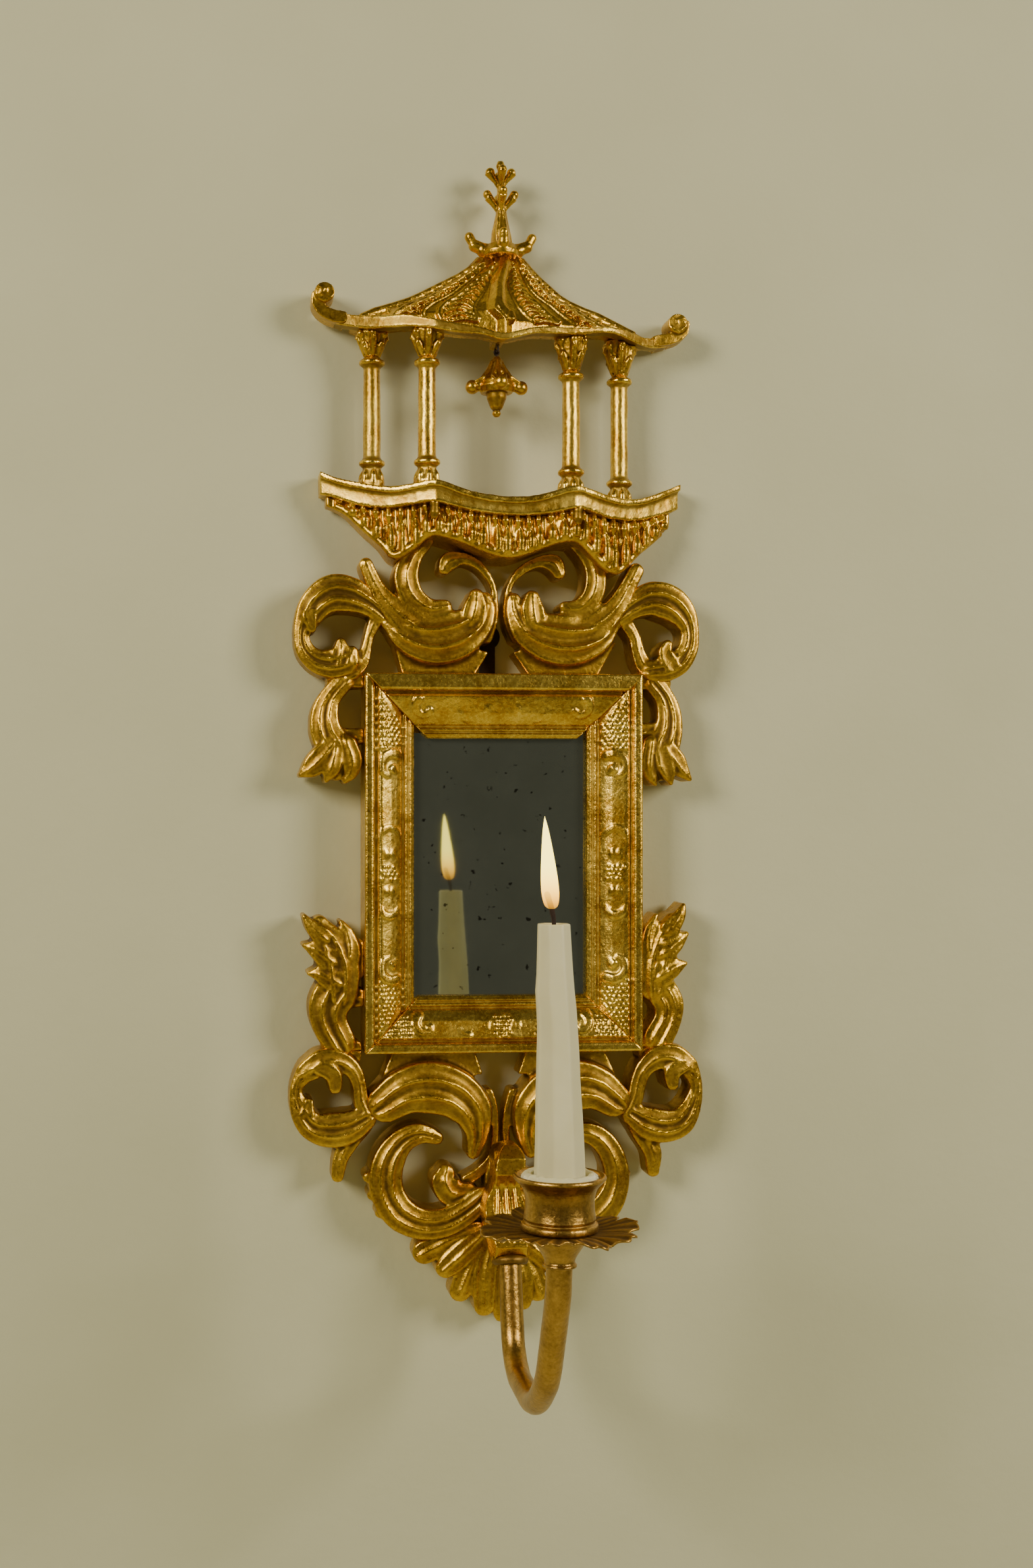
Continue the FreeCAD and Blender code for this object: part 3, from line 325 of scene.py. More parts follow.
FRAME_L, FRAME_R, FRAME_TOP, FRAME_BOT = -69.5, 71.3, -20.5, -210.0
ON_TOP_RAIL = [((0, FRAME_TOP, 0), (0, -1, 0))]
CREST = {
    "crest_scroll_left": ([
        ([(-57, 5, 4), (-48, 0, 9.5), (-36, -3, 13), (-24, -1, 13), (-14, 5, 10), (-9, 13, 6.5),
          (-8.5, 17, 4)], -20),
        ([(-68.5, 34, 3.5), (-64, 24, 4), (-57, 14, 5.5), (-48, 6, 7), (-38, 1, 6)], -21),
        ([(-37, 45.5, 2.5), (-45, 38, 5), (-48.5, 28, 6.5), (-45, 18, 6), (-37, 12.5, 5), (-29, 13, 4)],
         -21.5),
        ([(-7, -2, 3), (-3, 8, 1.8), (-2.6, 18, 1.5), (-5, 27, 1.8), (-11, 34.5, 2.3), (-19, 38, 3),
          (-26, 36.5, 4.8), (-28.5, 33, 3.5)], -18),
        ([(-15, 8, 6), (-13.5, 14, 6), (-13, 18.5, 4)], -22),
    ], [([(-50, -20.5), (-13, -20.5), (-6, -9), (-30, -4), (-55, -4)], -18)]),
    "crest_scroll_right": ([
        ([(6.5, 17, 3.8), (8, 11, 6), (14, 3, 10), (25, -2, 13), (37, -3, 13), (49, 0, 9.5), (58, 6, 4)],
         -20),
        ([(69, 32.5, 4), (64.5, 24, 4.3), (58.5, 14, 5.6), (50, 6, 7), (40, 1, 6)], -21),
        ([(37, 45.5, 2.5), (44.5, 38.5, 4.5), (48, 29, 5.5), (46, 19, 5.5), (39.5, 13.5, 4.5),
          (32.5, 13.5, 3.2)], -21.5),
        ([(8, -2, 3), (3.2, 8, 1.8), (3.3, 19, 1.5), (6.5, 27.5, 1.8), (12.5, 33.5, 2.3), (20, 36.8, 3),
          (27, 36, 4.8), (30, 31.5, 3.6)], -18),
        ([(16.5, 7, 6), (15.5, 13, 6), (15.5, 18, 4)], -22),
    ], [([(14, -20.5), (50, -20.5), (59, -4), (30, -4), (6, -9)], -18)]),
    "crest_volute_left": ([
        ([(-60, 9, 4.5), (-67, 14.5, 6.5), (-76, 18.7, 9), (-85, 19.5, 9.5), (-92.5, 15, 8.5),
          (-97.5, 7.5, 6.8), (-100.6, -1, 4.1), (-98.8, -9, 4.8), (-92.5, -14.5, 6.2), (-85, -15.5, 7.5),
          (-78, -14, 7)], -20),
        ([(-97, 8, 4), (-95.5, 1.7, 2.2)], -22),
        ([(-64, 5, 3.5), (-66.8, -2, 2.6), (-68.3, -9, 2.9), (-71, -15, 4), (-76, -19, 5)], -19),
        ([(-82, -14, 5), (-81, -8, 4), (-81, -5, 2.6)], -21),
        ([(-77, -14, 5), (-75.5, -9.5, 3)], -21),
    ], [([(-88, -24), (-70, -24), (-69.5, -17), (-90, -16)], -18)]),
    "crest_volute_right": ([
        ([(61, 9, 4.5), (68, 14.5, 6.5), (77, 18.3, 8.8), (86, 16.5, 9.2), (93, 10.8, 7.5),
          (96.8, 3, 5), (96.3, -6, 5.2), (91.5, -13.5, 6.2), (84.5, -17, 6.5), (78, -18, 5.5)], -20),
        ([(65, 5, 3.5), (68.7, -1, 3.2), (70.3, -8, 3.5), (73, -14.5, 4.3), (78, -19, 5)], -19),
        ([(87, -15, 4.5), (84, -9, 4), (85.5, -4.6, 2.4)], -21),
    ], [([(87, -24), (70.5, -24), (70, -16), (90, -16)], -18)]),
}
for name, (strokes, blocks) in CREST.items():
    carve(name, strokes, blocks, ON_TOP_RAIL if "scroll" in name else ())

# ---- side leaves ----------------------------------------------------------------------------------
# An S-shaped leaf above and an upright acanthus leaf below, glued to the outer edge of each side rail.
# The same gilded limewood as the crest, with lobed tips.
SIDES = {
    "side_leaf_upper_left": ([
        ([(-80, -25, 5), (-86, -32, 5.5), (-89, -40, 7), (-88.5, -49, 8), (-84.5, -57, 9),
          (-83, -64, 7.8), (-83, -70, 4)], -19),
        ([(-83, -24, 4), (-76, -24, 3.6), (-68, -24, 3.5)], -18),
        ([(-87, -51, 5), (-78, -51.5, 4), (-68, -51.5, 4)], -18),
        ([(-86, -57, 5), (-91, -63, 6.4), (-96.5, -68, 5), (-101, -71, 1.4)], -21),
        ([(-84, -60, 4), (-86, -68, 4.6), (-88.5, -74, 1.2)], -22),
        ([(-78, -56, 5), (-75.5, -64, 5.4), (-76, -70, 3.6), (-79, -74.5, 1.2)], -21),
    ], [([(-88, -24), (-70, -24), (-72, -27.5), (-88, -29)], -18)]),
    "side_leaf_upper_right": ([
        ([(79, -25, 5), (84, -31.5, 5.3), (86.5, -40, 6.4), (86, -49, 7.5), (83, -57, 9),
          (81.5, -64, 8.2), (81.5, -70, 4)], -19),
        ([(84, -24, 4), (77, -24, 3.6), (70, -24, 3.5)], -18),
        ([(85, -49.5, 5), (78, -49.5, 5.2), (70, -49.5, 5.2)], -18),
        ([(85, -58, 5), (89, -64, 5.8), (93, -69, 3.8), (97, -73, 1.2)], -21),
        ([(82, -60, 4), (84.5, -68, 4.4), (87, -75, 1.2)], -22),
        ([(77, -56, 5), (75.8, -65, 5), (76.5, -71, 3.2), (79, -75.5, 1.2)], -21),
    ], [([(87, -24), (71, -24), (73, -27.5), (88, -29)], -18)]),
    "side_leaf_lower_left": ([
        ([(-82, -204, 8.5), (-86.5, -195, 9.2), (-87, -187, 10.5), (-83.5, -180, 11)], -19),
        ([(-86, -183, 5.5), (-77, -183, 4.8), (-68, -182.5, 4.5)], -18),
        ([(-82, -178, 10), (-82.5, -167, 11), (-86, -156, 9), (-91.5, -146, 4.6)], -20),
        ([(-84, -174, 6), (-91, -170.5, 4.4), (-97, -170, 1.2)], -22),
        ([(-87, -163, 6), (-94, -158, 4.2), (-99.5, -156, 1.2)], -22),
        ([(-90, -152, 5), (-95.5, -147, 3.4), (-99.5, -141.5, 1.2)], -22),
        ([(-80, -170, 6), (-76.5, -160, 5.4), (-77.5, -151, 3.4), (-81, -144.5, 1.2)], -21),
        ([(-73, -170, 4), (-71.6, -156, 2.6)], -19),
    ], [([(-90, -209), (-70, -209), (-71, -204.5), (-92, -203)], -18)]),
    "side_leaf_lower_right": ([
        ([(81, -204, 8), (85.5, -195, 7.5), (86, -187, 8), (82, -180, 8.5)], -19),
        ([(84, -180, 5.5), (77, -180, 4.8), (70, -180, 4.5)], -18),
        ([(79, -177, 9), (80, -166, 10), (83, -155, 8.4), (88, -145, 4.4)], -20),
        ([(82, -172, 6), (89, -168, 4.4), (94.5, -166.5, 1.2)], -22),
        ([(84, -160, 6), (90.5, -155, 4), (95, -151.5, 1.2)], -22),
        ([(86, -149, 5), (91, -142.5, 3.4), (93.5, -137, 1.2)], -22),
        ([(77, -168, 5.4), (75.4, -158, 4.8), (76.5, -149, 3.2), (79.5, -142, 1.2)], -21),
    ], [([(88, -209), (71, -209), (72, -204), (90, -203)], -18)]),
}
for name, (strokes, blocks) in SIDES.items():
    edge, outward = (FRAME_L, 1) if "left" in name else (FRAME_R, -1)
    carve(name, strokes, blocks, [((edge, 0, 0), (outward, 0, 0))])

# ---- apron ----------------------------------------------------------------------------------------
# Below the frame two broad leaves run into C-scrolls, a volute curls out on each side, and a shell with
# a lobed edge hangs at the bottom.  Gilded limewood, glued to the bottom rail and to a plain spine.
APRON = {
    "apron_volute_left": ([
        ([(-68, -240, 4.5), (-70.7, -234, 4), (-71.8, -226, 3.6), (-75.5, -218, 4.6), (-83, -214, 6),
          (-91, -215, 7), (-98.5, -219.5, 5.3)], -20),
        ([(-94, -216.5, 6), (-98.5, -219.5, 5.3), (-103.3, -228, 3.2), (-101, -238, 5.5),
          (-95.5, -246, 7.2), (-86.5, -248.5, 8.8), (-77, -247, 8.3), (-69, -243, 6)], -20),
        ([(-91, -217, 4), (-85, -220.5, 4.5), (-84, -227, 3.3)], -22),
        ([(-98, -240, 4), (-97, -234.5, 2.4)], -21),
        ([(-70, -247, 5), (-75.5, -253.5, 4.8), (-80.5, -262, 4), (-82.5, -272, 3.2)], -18),
    ], [([(-88, -209), (-70, -209), (-71, -214), (-92, -214)], -18)]),
    "apron_volute_right": ([
        ([(66, -240, 4.5), (68.8, -234, 4.2), (70.5, -226, 4.3), (74, -219, 4.8), (81, -214, 6.3),
          (89, -214.5, 7), (96, -219, 5.4)], -20),
        ([(92, -216.5, 6), (96, -219, 5.4), (100.2, -228, 3.4), (98.3, -238, 5), (92.5, -246.5, 7.4),
          (84, -249, 8.6), (75, -247, 8.2), (68, -243, 6)], -20),
        ([(93, -218, 3.6), (87.5, -221.5, 4.5), (87.3, -227.5, 3.3)], -22),
        ([(69, -247, 5), (74, -254.5, 5.4), (78.3, -263, 4.6), (78.5, -272, 3.4)], -18),
    ], [([(88, -209), (71, -209), (71, -214), (92, -214)], -18)]),
    "apron_scroll_left": ([
        ([(-58, -235, 10), (-48, -229, 12), (-35, -227.5, 13.5), (-23, -231.5, 12.5), (-15, -240, 10.5),
          (-12.5, -251, 6.2), (-14.2, -260.5, 3.6)], -21),
        ([(-6, -232, 3), (-2.8, -242, 2.1), (-2.3, -254, 1.9), (-4.5, -264, 2.1), (-10, -271, 2.6),
          (-17, -275.5, 3)], -16),
        ([(-32.5, -253.3, 3.4), (-41, -251, 5.2), (-49.5, -254, 6.4), (-56, -262, 8), (-58.6, -272, 8.6),
          (-57, -282, 8.6), (-51, -291, 8.6), (-41, -296, 8), (-30, -296, 7.4), (-19, -291, 6.8),
          (-10, -284, 6)], -20),
        ([(-17, -281, 5), (-25, -281, 7), (-28.5, -275, 7.2), (-28, -271.5, 4.8)], -18),
        ([(-60, -271, 4), (-67.3, -272.5, 2.6)], -19),
        ([(-60, -282, 4), (-65, -281.5, 2.8)], -19),
        ([(-56, -291, 4), (-61, -290.5, 2.8)], -19),
    ], [([(-55, -210), (-13, -210), (-9, -222), (-60, -222)], -18)]),
    "apron_scroll_right": ([
        ([(57, -235, 9), (48, -229, 11.5), (36, -227.5, 13.5), (24, -231.5, 12.5), (16, -240, 10.5),
          (13.5, -251, 6.2), (15.2, -260.5, 3.6)], -21),
        ([(7, -232, 3), (3.8, -242, 2.1), (3.3, -254, 1.9), (5.5, -264, 2.1), (11, -271, 2.6),
          (18, -275.5, 3)], -16),
        ([(33.5, -253.8, 3.4), (42, -251.5, 5), (50, -254.5, 6), (56, -262, 6.4), (59, -272, 6.6),
          (57.5, -282, 7.2), (51.5, -291, 8), (42, -296, 8), (31, -296, 7.4), (20, -291, 6.8),
          (11, -284, 6)], -20),
        ([(18, -281, 5), (26, -281, 7), (29.5, -275, 7.2), (29, -271.5, 4.8)], -18),
        ([(59, -273, 4), (64.2, -273, 2.6)], -19),
        ([(58, -283, 4), (62.5, -282.5, 2.6)], -19),
    ], [([(13, -210), (53, -210), (59, -222), (9, -222)], -18)]),
}
UNDER_BOTTOM_RAIL = [((0, FRAME_BOT, 0), (0, 1, 0))]
for name, (strokes, blocks) in APRON.items():
    carve(name, strokes, blocks, UNDER_BOTTOM_RAIL if "scroll" in name else ())

SHELL = [((-12, -300), (-26, -305), (-38.5, -311), 6.3), ((-10, -303), (-20, -312), (-28, -319), 5.2),
         ((-8, -305), (-15, -318), (-20.5, -331), 5.6), ((-4, -306), (-8, -322), (-8.5, -338.5), 5.2),
         ((0, -306), (1, -325), (1, -343), 4.5), ((4, -306), (10, -322), (11, -336.5), 4.8),
         ((7, -305), (14, -317), (19.5, -331.5), 5.8), ((9, -303), (19, -311), (28.5, -319), 5.2),
         ((11, -300), (24, -304.5), (35, -311), 6.0)]
shell_lobes = []
for k, (root, middle, tip, r) in enumerate(SHELL):
    shell_lobes.append(([(root[0], root[1], 4.2), (middle[0], middle[1], 6), (tip[0], tip[1], r)],
                        -17.0 - 1.5 * (k % 2)))
carve("apron_shell", shell_lobes, [([(-14, -308), (14, -308), (8, -296), (-8, -296)], -16)])
carve("apron_spine", [([(0, -300, 7), (0, -285, 7.4), (0, -270, 6)], -17)],
      [([(-7, -306), (7, -306), (8, -274), (5, -262), (-5, -262), (-8, -274)], -17)])

# ---- mirror frame ---------------------------------------------------------------------------------
# Four mitred rails of pine, run through a moulding plane: a flat ledge, a sloping panel and two fine
# beads at the sight edge.  Scrolls and punched grounds were worked in the gesso of the panels, which
# were then burnished brighter than the carvings.
# the rails take a weaker painted shade in their hollows than the carvings
burnished = gilding("burnished_gilt_rails", "#f6d25c", "#c6982c", "#8a6424", -0.18, 0.18, 0.6, 0.6)
SIGHT_L, SIGHT_R, SIGHT_TOP, SIGHT_BOT = -44.0, 43.7, -52.6, -182.0


def rail_outline(width, ledge, front):
    """Section of a rail: distance in from the outer edge, and how far it stands off the wall."""
    w = width
    return [
        (0, 0.5), (0, front - 1.2), (0.4, front - 0.3), (1.2, front), (ledge - 1.4, front),
        (ledge - 0.5, front - 0.5), (ledge, front - 1.6), (ledge + 0.5, 23.4), (ledge + 1.2, 23.2),
        (ledge + 1.8, 24.7), (ledge + 3.0, 25.5), (ledge + 4.4, 25.2), (w - 12.0, 23.3), (w - 9.0, 21.3),
        (w - 6.8, 19.4), (w - 6.1, 18.0), (w - 5.5, 18.1), (w - 5.0, 19.3), (w - 4.3, 19.9),
        (w - 3.6, 19.2), (w - 3.1, 18.1), (w - 2.6, 19.1), (w - 2.0, 19.8), (w - 1.4, 19.2),
        (w - 0.9, 18.3), (w - 0.4, 18.6), (w, 17.8), (w, 14.05), (w - 2.8, 14.05), (w - 2.8, 0.5)]


def curl(x, z, start, end, wide, narrow, turn_from, turn_to, steps=9):
    """A small scroll: (x, z, half width) from its wide end to its narrow end, angles in degrees."""
    line = []
    for k in range(steps):
        t = k / (steps - 1)
        a = math.radians(turn_from + (turn_to - turn_from) * t)
        r = start + (end - start) * t
        line.append((x + r * math.cos(a), z + r * math.sin(a), 1.2 * (wide + (narrow - wide) * t)))
    return line


def side_ornaments(x, s):
    """Scrolls at both ends of a side panel and a cartouche between them; s points to the glass."""
    def about(line):
        return [(x + s * u, z, w) for u, z, w in line]
    flip = [(u, -234.0 - z, w) for u, z, w in curl(1.0, -67.0, 7.0, 4.6, 2.3, 1.5, 60, 250)]
    return [
        about(curl(1.0, -67.0, 7.0, 4.6, 2.3, 1.5, 60, 250)), about([(1.5, -68, 2.6), (3.4, -70, 1.6)]),
        about(flip), about([(1.5, -166, 2.6), (3.4, -164, 1.6)]),
        about([(-5.8, -108, 1.2), (-5.6, -101, 1.7), (0, -97.2, 1.9), (5.6, -101, 1.7), (5.8, -108, 1.2)]),
        about([(-3.2, -107, 1.0), (-1.4, -110.5, 1.9), (-3.0, -114, 1.0)]),
        about([(3.2, -107, 1.0), (1.4, -110.5, 1.9), (3.0, -114, 1.0)]),
        about([(-3.0, -126, 1.0), (-1.4, -129.0, 1.9), (-3.2, -132.5, 1.0)]),
        about([(3.0, -126, 1.0), (1.4, -129.0, 1.9), (3.2, -132.5, 1.0)]),
        about([(-5.8, -134, 1.0), (-3.6, -139.5, 1.9), (0, -141.5, 2.2), (3.6, -139.5, 1.9),
               (5.8, -134, 1.0)])]


def level_ornaments(z):
    """Two crescents back to back in the middle of a level panel and a scroll towards each corner."""
    line = []
    for s in (-1, 1):
        line.append(curl(s * 17, z, 5.2, 5.2, 1.0, 1.6, 90 - s * 70, 90 - s * 180, 7))
        line.append([(s * 6.0, z + 3.4, 1.0), (s * 8.0, z, 1.7), (s * 6.0, z - 3.4, 1.0)])
        line.append(curl(s * 39, z + 1, 5.4, 3.6, 2.2, 1.3, 90 - s * 40, 90 - s * 230, 8))
        line.append([(s * 37, z - 1, 2.2), (s * 35.5, z - 3, 1.4)])
    return line


def punched(spots):
    """Round grains left standing by the punch: one is modelled, and the rest are its copies."""
    bpy.ops.object.select_all(action="DESELECT")
    bpy.ops.mesh.primitive_ico_sphere_add(subdivisions=1, radius=1.18)
    grain = bpy.context.object
    grains = [grain]
    for _ in spots[1:]:
        copy = bpy.data.objects.new("grain", grain.data.copy())
        bpy.context.scene.collection.objects.link(copy)
        grains.append(copy)
    for item, (x, z) in zip(grains, spots):
        item.data.transform(Matrix.Translation((x, z, 0)))
    return joined(grains)


def grain_spots(inside, x0, x1, z0, z1, step=2.35):
    """Places for the grains: staggered rows, a little uneven as by hand."""
    spots = []
    row = 0
    z = z0
    while z < z1:
        x = x0 + (step / 2 if row % 2 else 0)
        while x < x1:
            at = (x + random.uniform(-0.3, 0.3), z + random.uniform(-0.3, 0.3))
            if inside(*at):
                spots.append(at)
            x += step
        z += step * 0.87
        row += 1
    return spots


OUT = [(FRAME_L, FRAME_TOP), (FRAME_R, FRAME_TOP), (FRAME_R, FRAME_BOT), (FRAME_L, FRAME_BOT)]
IN = [(SIGHT_L, SIGHT_TOP), (SIGHT_R, SIGHT_TOP), (SIGHT_R, SIGHT_BOT), (SIGHT_L, SIGHT_BOT)]
RAIL_W, RAIL_H = 140.8, 189.5
# side, width, ledge, front, where it starts, which way is in, which way it runs, length
RAILS = [("top", FRAME_TOP - SIGHT_TOP, 8.5, 28.5, (FRAME_L, FRAME_TOP), (0, -1), (1, 0), RAIL_W),
         ("right", FRAME_R - SIGHT_R, 5.0, 26.0, (FRAME_R, FRAME_TOP), (-1, 0), (0, -1), RAIL_H),
         ("bottom", SIGHT_BOT - FRAME_BOT, 5.0, 27.0, (FRAME_R, FRAME_BOT), (0, 1), (-1, 0), RAIL_W),
         ("left", SIGHT_L - FRAME_L, 5.0, 26.0, (FRAME_L, FRAME_BOT), (1, 0), (0, 1), RAIL_H)]
for index, (side, width, ledge, front, start, inward, along, length) in enumerate(RAILS):
    outline = rail_outline(width, ledge, front)
    bpy.ops.object.select_all(action="DESELECT")
    bpy.ops.mesh.primitive_circle_add(vertices=len(outline), radius=1, fill_type="NGON")
    rail = bpy.context.object
    for vertex, (d, up) in zip(rail.data.vertices, outline):
        vertex.co = (start[0] + inward[0] * d - along[0] * 2, start[1] + inward[1] * d - along[1] * 2, up)
    only(rail)
    bpy.ops.object.mode_set(mode="EDIT")
    bpy.ops.mesh.select_all(action="SELECT")
    run = (along[0] * (length + 4), along[1] * (length + 4), 0)
    bpy.ops.mesh.extrude_region_move(TRANSFORM_OT_translate={"value": run})
    bpy.ops.mesh.select_all(action="SELECT")
    bpy.ops.mesh.normals_make_consistent(inside=False)
    bpy.ops.object.mode_set(mode="OBJECT")
    for corner, sense in ((index, -1), ((index + 1) % 4, 1)):
        outer, inner = Vector((*OUT[corner], 0)), Vector((*IN[corner], 0))
        square = (inner - outer).cross(Vector((0, 0, 1)))
        if square.dot(Vector((*along, 0))) * sense < 0:
            square = -square
        trimmed(rail, outer, square)

    def height(x, z):
        """How far the moulding stands off the wall at a place on this rail."""
        d = (x - start[0]) * inward[0] + (z - start[1]) * inward[1]
        for (a, up_a), (b, up_b) in zip(outline[1:27], outline[2:28]):
            if a <= d <= b and b > a:
                return up_a + (up_b - up_a) * (d - a) / (b - a)
        return outline[4][1]

    if side in ("left", "right"):
        sign = 1 if side == "left" else -1
        middle = start[0] + sign * (ledge + 1 + (width - ledge - 7) / 2)
        lines = side_ornaments(middle, sign)
        panel = (middle - 6.5, middle + 6.5)

        def punch_here(x, z):
            low = abs(z + 120) < 3.5 and abs(x - middle) < 4.2
            ends = z > -59 or z < -174
            across = (x - start[0]) * sign
            top_edge = FRAME_TOP - across * (FRAME_TOP - SIGHT_TOP) / width
            bottom_edge = FRAME_BOT + across * (SIGHT_BOT - FRAME_BOT) / width
            return (low or ends) and bottom_edge + 1.5 < z < top_edge - 1.5
        spots = grain_spots(punch_here, panel[0], panel[1], FRAME_BOT + 5, FRAME_TOP - 5)
    else:
        middle = start[1] + inward[1] * (ledge + 1 + (width - ledge - 7) / 2)
        lines = level_ornaments(middle)

        def punch_here(x, z):
            across = (z - start[1]) * inward[1]
            left_edge = FRAME_L + across * (SIGHT_L - FRAME_L) / width
            right_edge = FRAME_R + across * (SIGHT_R - FRAME_R) / width
            ends = abs(x) > 46 and side == "bottom"
            centre = abs(x) < 4.5 and side == "bottom"
            return (ends or centre) and left_edge + 2 < x < right_edge - 2
        spots = grain_spots(punch_here, FRAME_L + 6, FRAME_R - 6, middle - 6, middle + 6)
    ornaments = [cut_band(line, -0.3, gouges[0]) for line in lines]
    if spots:
        ornaments.append(punched(spots))
    relief_work = joined(ornaments)
    for vertex in relief_work.data.vertices:
        vertex.co.z += height(vertex.co.x, vertex.co.y) - 0.35
    rail = joined([rail, relief_work])
    rail.data.transform(STAND)
    gesso(rail, "frame_rail_" + side + "_moulded", "sconce", ["frame_rail_" + side], burnished,
          voxel=0.5, soften=1, ripple=0.15)

# ---- mirror glass and back ------------------------------------------------------------------------
# A small sheet of old silvered glass, gone grey and spotted, held by a thin pine board and bent brads.
# The glass lies in the rebate behind the rails.
# silvered on the back long ago: the image is grey and slightly soft, with dark spots of tarnish
old_glass, tree = new_material("old_silvered_glass")
place = add(tree, "TexCoord").outputs["Object"]
haze = add(tree, "TexNoise", {"Vector": place, "Scale": 28.0, "Detail": 6.0, "Roughness": 0.65})
spots = add(tree, "TexNoise", {"Vector": place, "Scale": 260.0, "Detail": 2.0})
tarnish = add(tree, "MapRange", {"Value": spots.outputs["Fac"], 1: 0.68, 2: 0.74})
silver = add(tree, "Mix", {"Factor": haze.outputs["Fac"], 6: linear("#8d9484"), 7: linear("#aeb3a2")},
             data_type="RGBA")
silver = add(tree, "Mix", {"Factor": tarnish.outputs[0], 6: silver.outputs[2], 7: linear("#4c4b40")},
             data_type="RGBA")
blur = add(tree, "MapRange", {"Value": haze.outputs["Fac"], 3: 0.015, 4: 0.06})
shader = add(tree, "BsdfPrincipled", {"Base Color": silver.outputs[2], "Metallic": 0.93,
                                      "Roughness": blur.outputs[0]})
add(tree, "OutputMaterial", {"Surface": shader.outputs[0]})



def grained(name, dark, light, noise, bump, surface, stretch=None):
    """Two tones of one matter in a fine pattern, which also lifts the surface."""
    material, tree = new_material(name)
    place = add(tree, "TexCoord").outputs["Object"]
    if stretch:
        place = add(tree, "Mapping", {"Vector": place, "Scale": stretch}).outputs[0]
    pattern = add(tree, "TexNoise", {"Vector": place, **noise})
    tone = add(tree, "Mix", {"Factor": pattern.outputs["Fac"], 6: linear(dark), 7: linear(light)},
               data_type="RGBA")
    shader = add(tree, "BsdfPrincipled", {"Base Color": tone.outputs[2], **surface})
    if bump:
        lift = add(tree, "Bump", {"Height": pattern.outputs["Fac"], "Strength": bump[0],
                                  "Distance": bump[1]})
        tree.links.new(lift.outputs[0], shader.inputs["Normal"])
    add(tree, "OutputMaterial", {"Surface": shader.outputs[0]})
    return material


# pine left raw from the saw: fibres of 2 to 3 mm spacing that run up and down, dry and dull
raw_pine = grained("raw_pine", "#6e4a26", "#b08b58", {"Scale": 1.0, "Detail": 5.0}, (0.4, 0.0003),
                   {"Roughness": 0.75}, (420.0, 420.0, 18.0))
# iron black from the forge, pitted and a little rusty
black_iron = grained("blacksmith_iron", "#1d1a18", "#4a382c", {"Scale": 400.0, "Detail": 5.0},
                     (0.5, 0.0003), {"Metallic": 0.8, "Roughness": 0.55})


def plain(node, material):
    """A CAD piece that is already the real shape keeps its mesh and takes its finish."""
    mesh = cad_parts[node].data
    mesh.materials.clear()
    mesh.materials.append(material)


plain("mirror_plate", old_glass)
plain("mirror_backboard", raw_pine)
plain("arm_plug", raw_pine)
for node in ("backing_brads", "hanger_plate", "hanger_screws", "bracket_screws", "cup_stud", "bell_staple",
             "bell_wire"):
    plain(node, black_iron)

# ---- balcony --------------------------------------------------------------------------------------
# A wavy cornice on a canted plan stands over a hanging like a fringed cloth, with a rolled hem and two
# small pegs below the corners.  Gilded limewood, glued on top of the crest scrolls.


def from_part(*nodes):
    """A copy of plain solids to work on, with their loose triangles merged."""
    copies = []
    for node in nodes:
        copy = bpy.data.objects.new(node + "_work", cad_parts[node].data.copy())
        bpy.context.scene.collection.objects.link(copy)
        copies.append(copy)
    item = joined(copies)
    only(item)
    bpy.ops.object.mode_set(mode="EDIT")
    bpy.ops.mesh.select_all(action="SELECT")
    bpy.ops.mesh.remove_doubles(threshold=0.000002)
    bpy.ops.object.mode_set(mode="OBJECT")
    return item


def strand(points, sides=2):
    """A round strand through (x, y, z, radius), with closed ends, put in its place."""
    shape = bpy.data.curves.new("strand", "CURVE")
    shape.dimensions = "3D"
    shape.bevel_depth = 1.0
    shape.bevel_resolution = sides
    shape.use_fill_caps = True
    spline = shape.splines.new("POLY")
    spline.points.add(len(points) - 1)
    for point, (x, y, z, r) in zip(spline.points, points):
        point.co = (x, y, z, 1)
        point.radius = r
    item = as_mesh(shape, "strand")
    item.data.transform(PLACE)
    return item


def along_line(points, x):
    """The height of a line of (x, z) points above x."""
    for (xa, za), (xb, zb) in zip(points, points[1:]):
        if x <= xb:
            return za + (zb - za) * (x - xa) / (xb - xa)
    return points[-1][1]


VALANCE_FRONT = [(-88, -11.5), (-34, -36), (32.5, -36), (88.5, -11.5)]
HEM = [(-90, 64.5), (-79, 60), (-68, 49.3), (-60, 41.7), (-54.5, 35.8), (-46, 40.3), (-41.5, 44.4),
       (-36.5, 46.5), (-32, 45.9), (-22, 42.9), (-12, 39), (-2, 36), (5.5, 36.5), (14.5, 39.5),
       (22, 42.4), (30, 44.4), (37.5, 43.2), (44, 37.7), (50.5, 32.2), (55, 30), (59.5, 30.7),
       (68.5, 39.3), (76.5, 45.8), (85.5, 53.5), (91, 58.5)]
UNDER_CORNICE = [(-91, 70), (-80, 66.5), (-70, 62.8), (-60, 61.4), (-51, 61.6), (-42, 62.5),
                 (-36.5, 62.7), (-28, 60.8), (-13, 57.8), (1.5, 56.6), (16, 57.1), (26, 58.8),
                 (34, 60.4), (47, 58.4), (58, 56.8), (70, 57.8), (81, 60.7), (94, 65.8)]
hem_line = eased(HEM, 3)
pieces = [from_part("balcony_valance")]
roll = [(x, along_line(VALANCE_FRONT, x) + 0.6, z + 2.0, 2.3) for x, z in hem_line if -84 < x < 85]
pieces.append(strand(roll))
x = -81.0
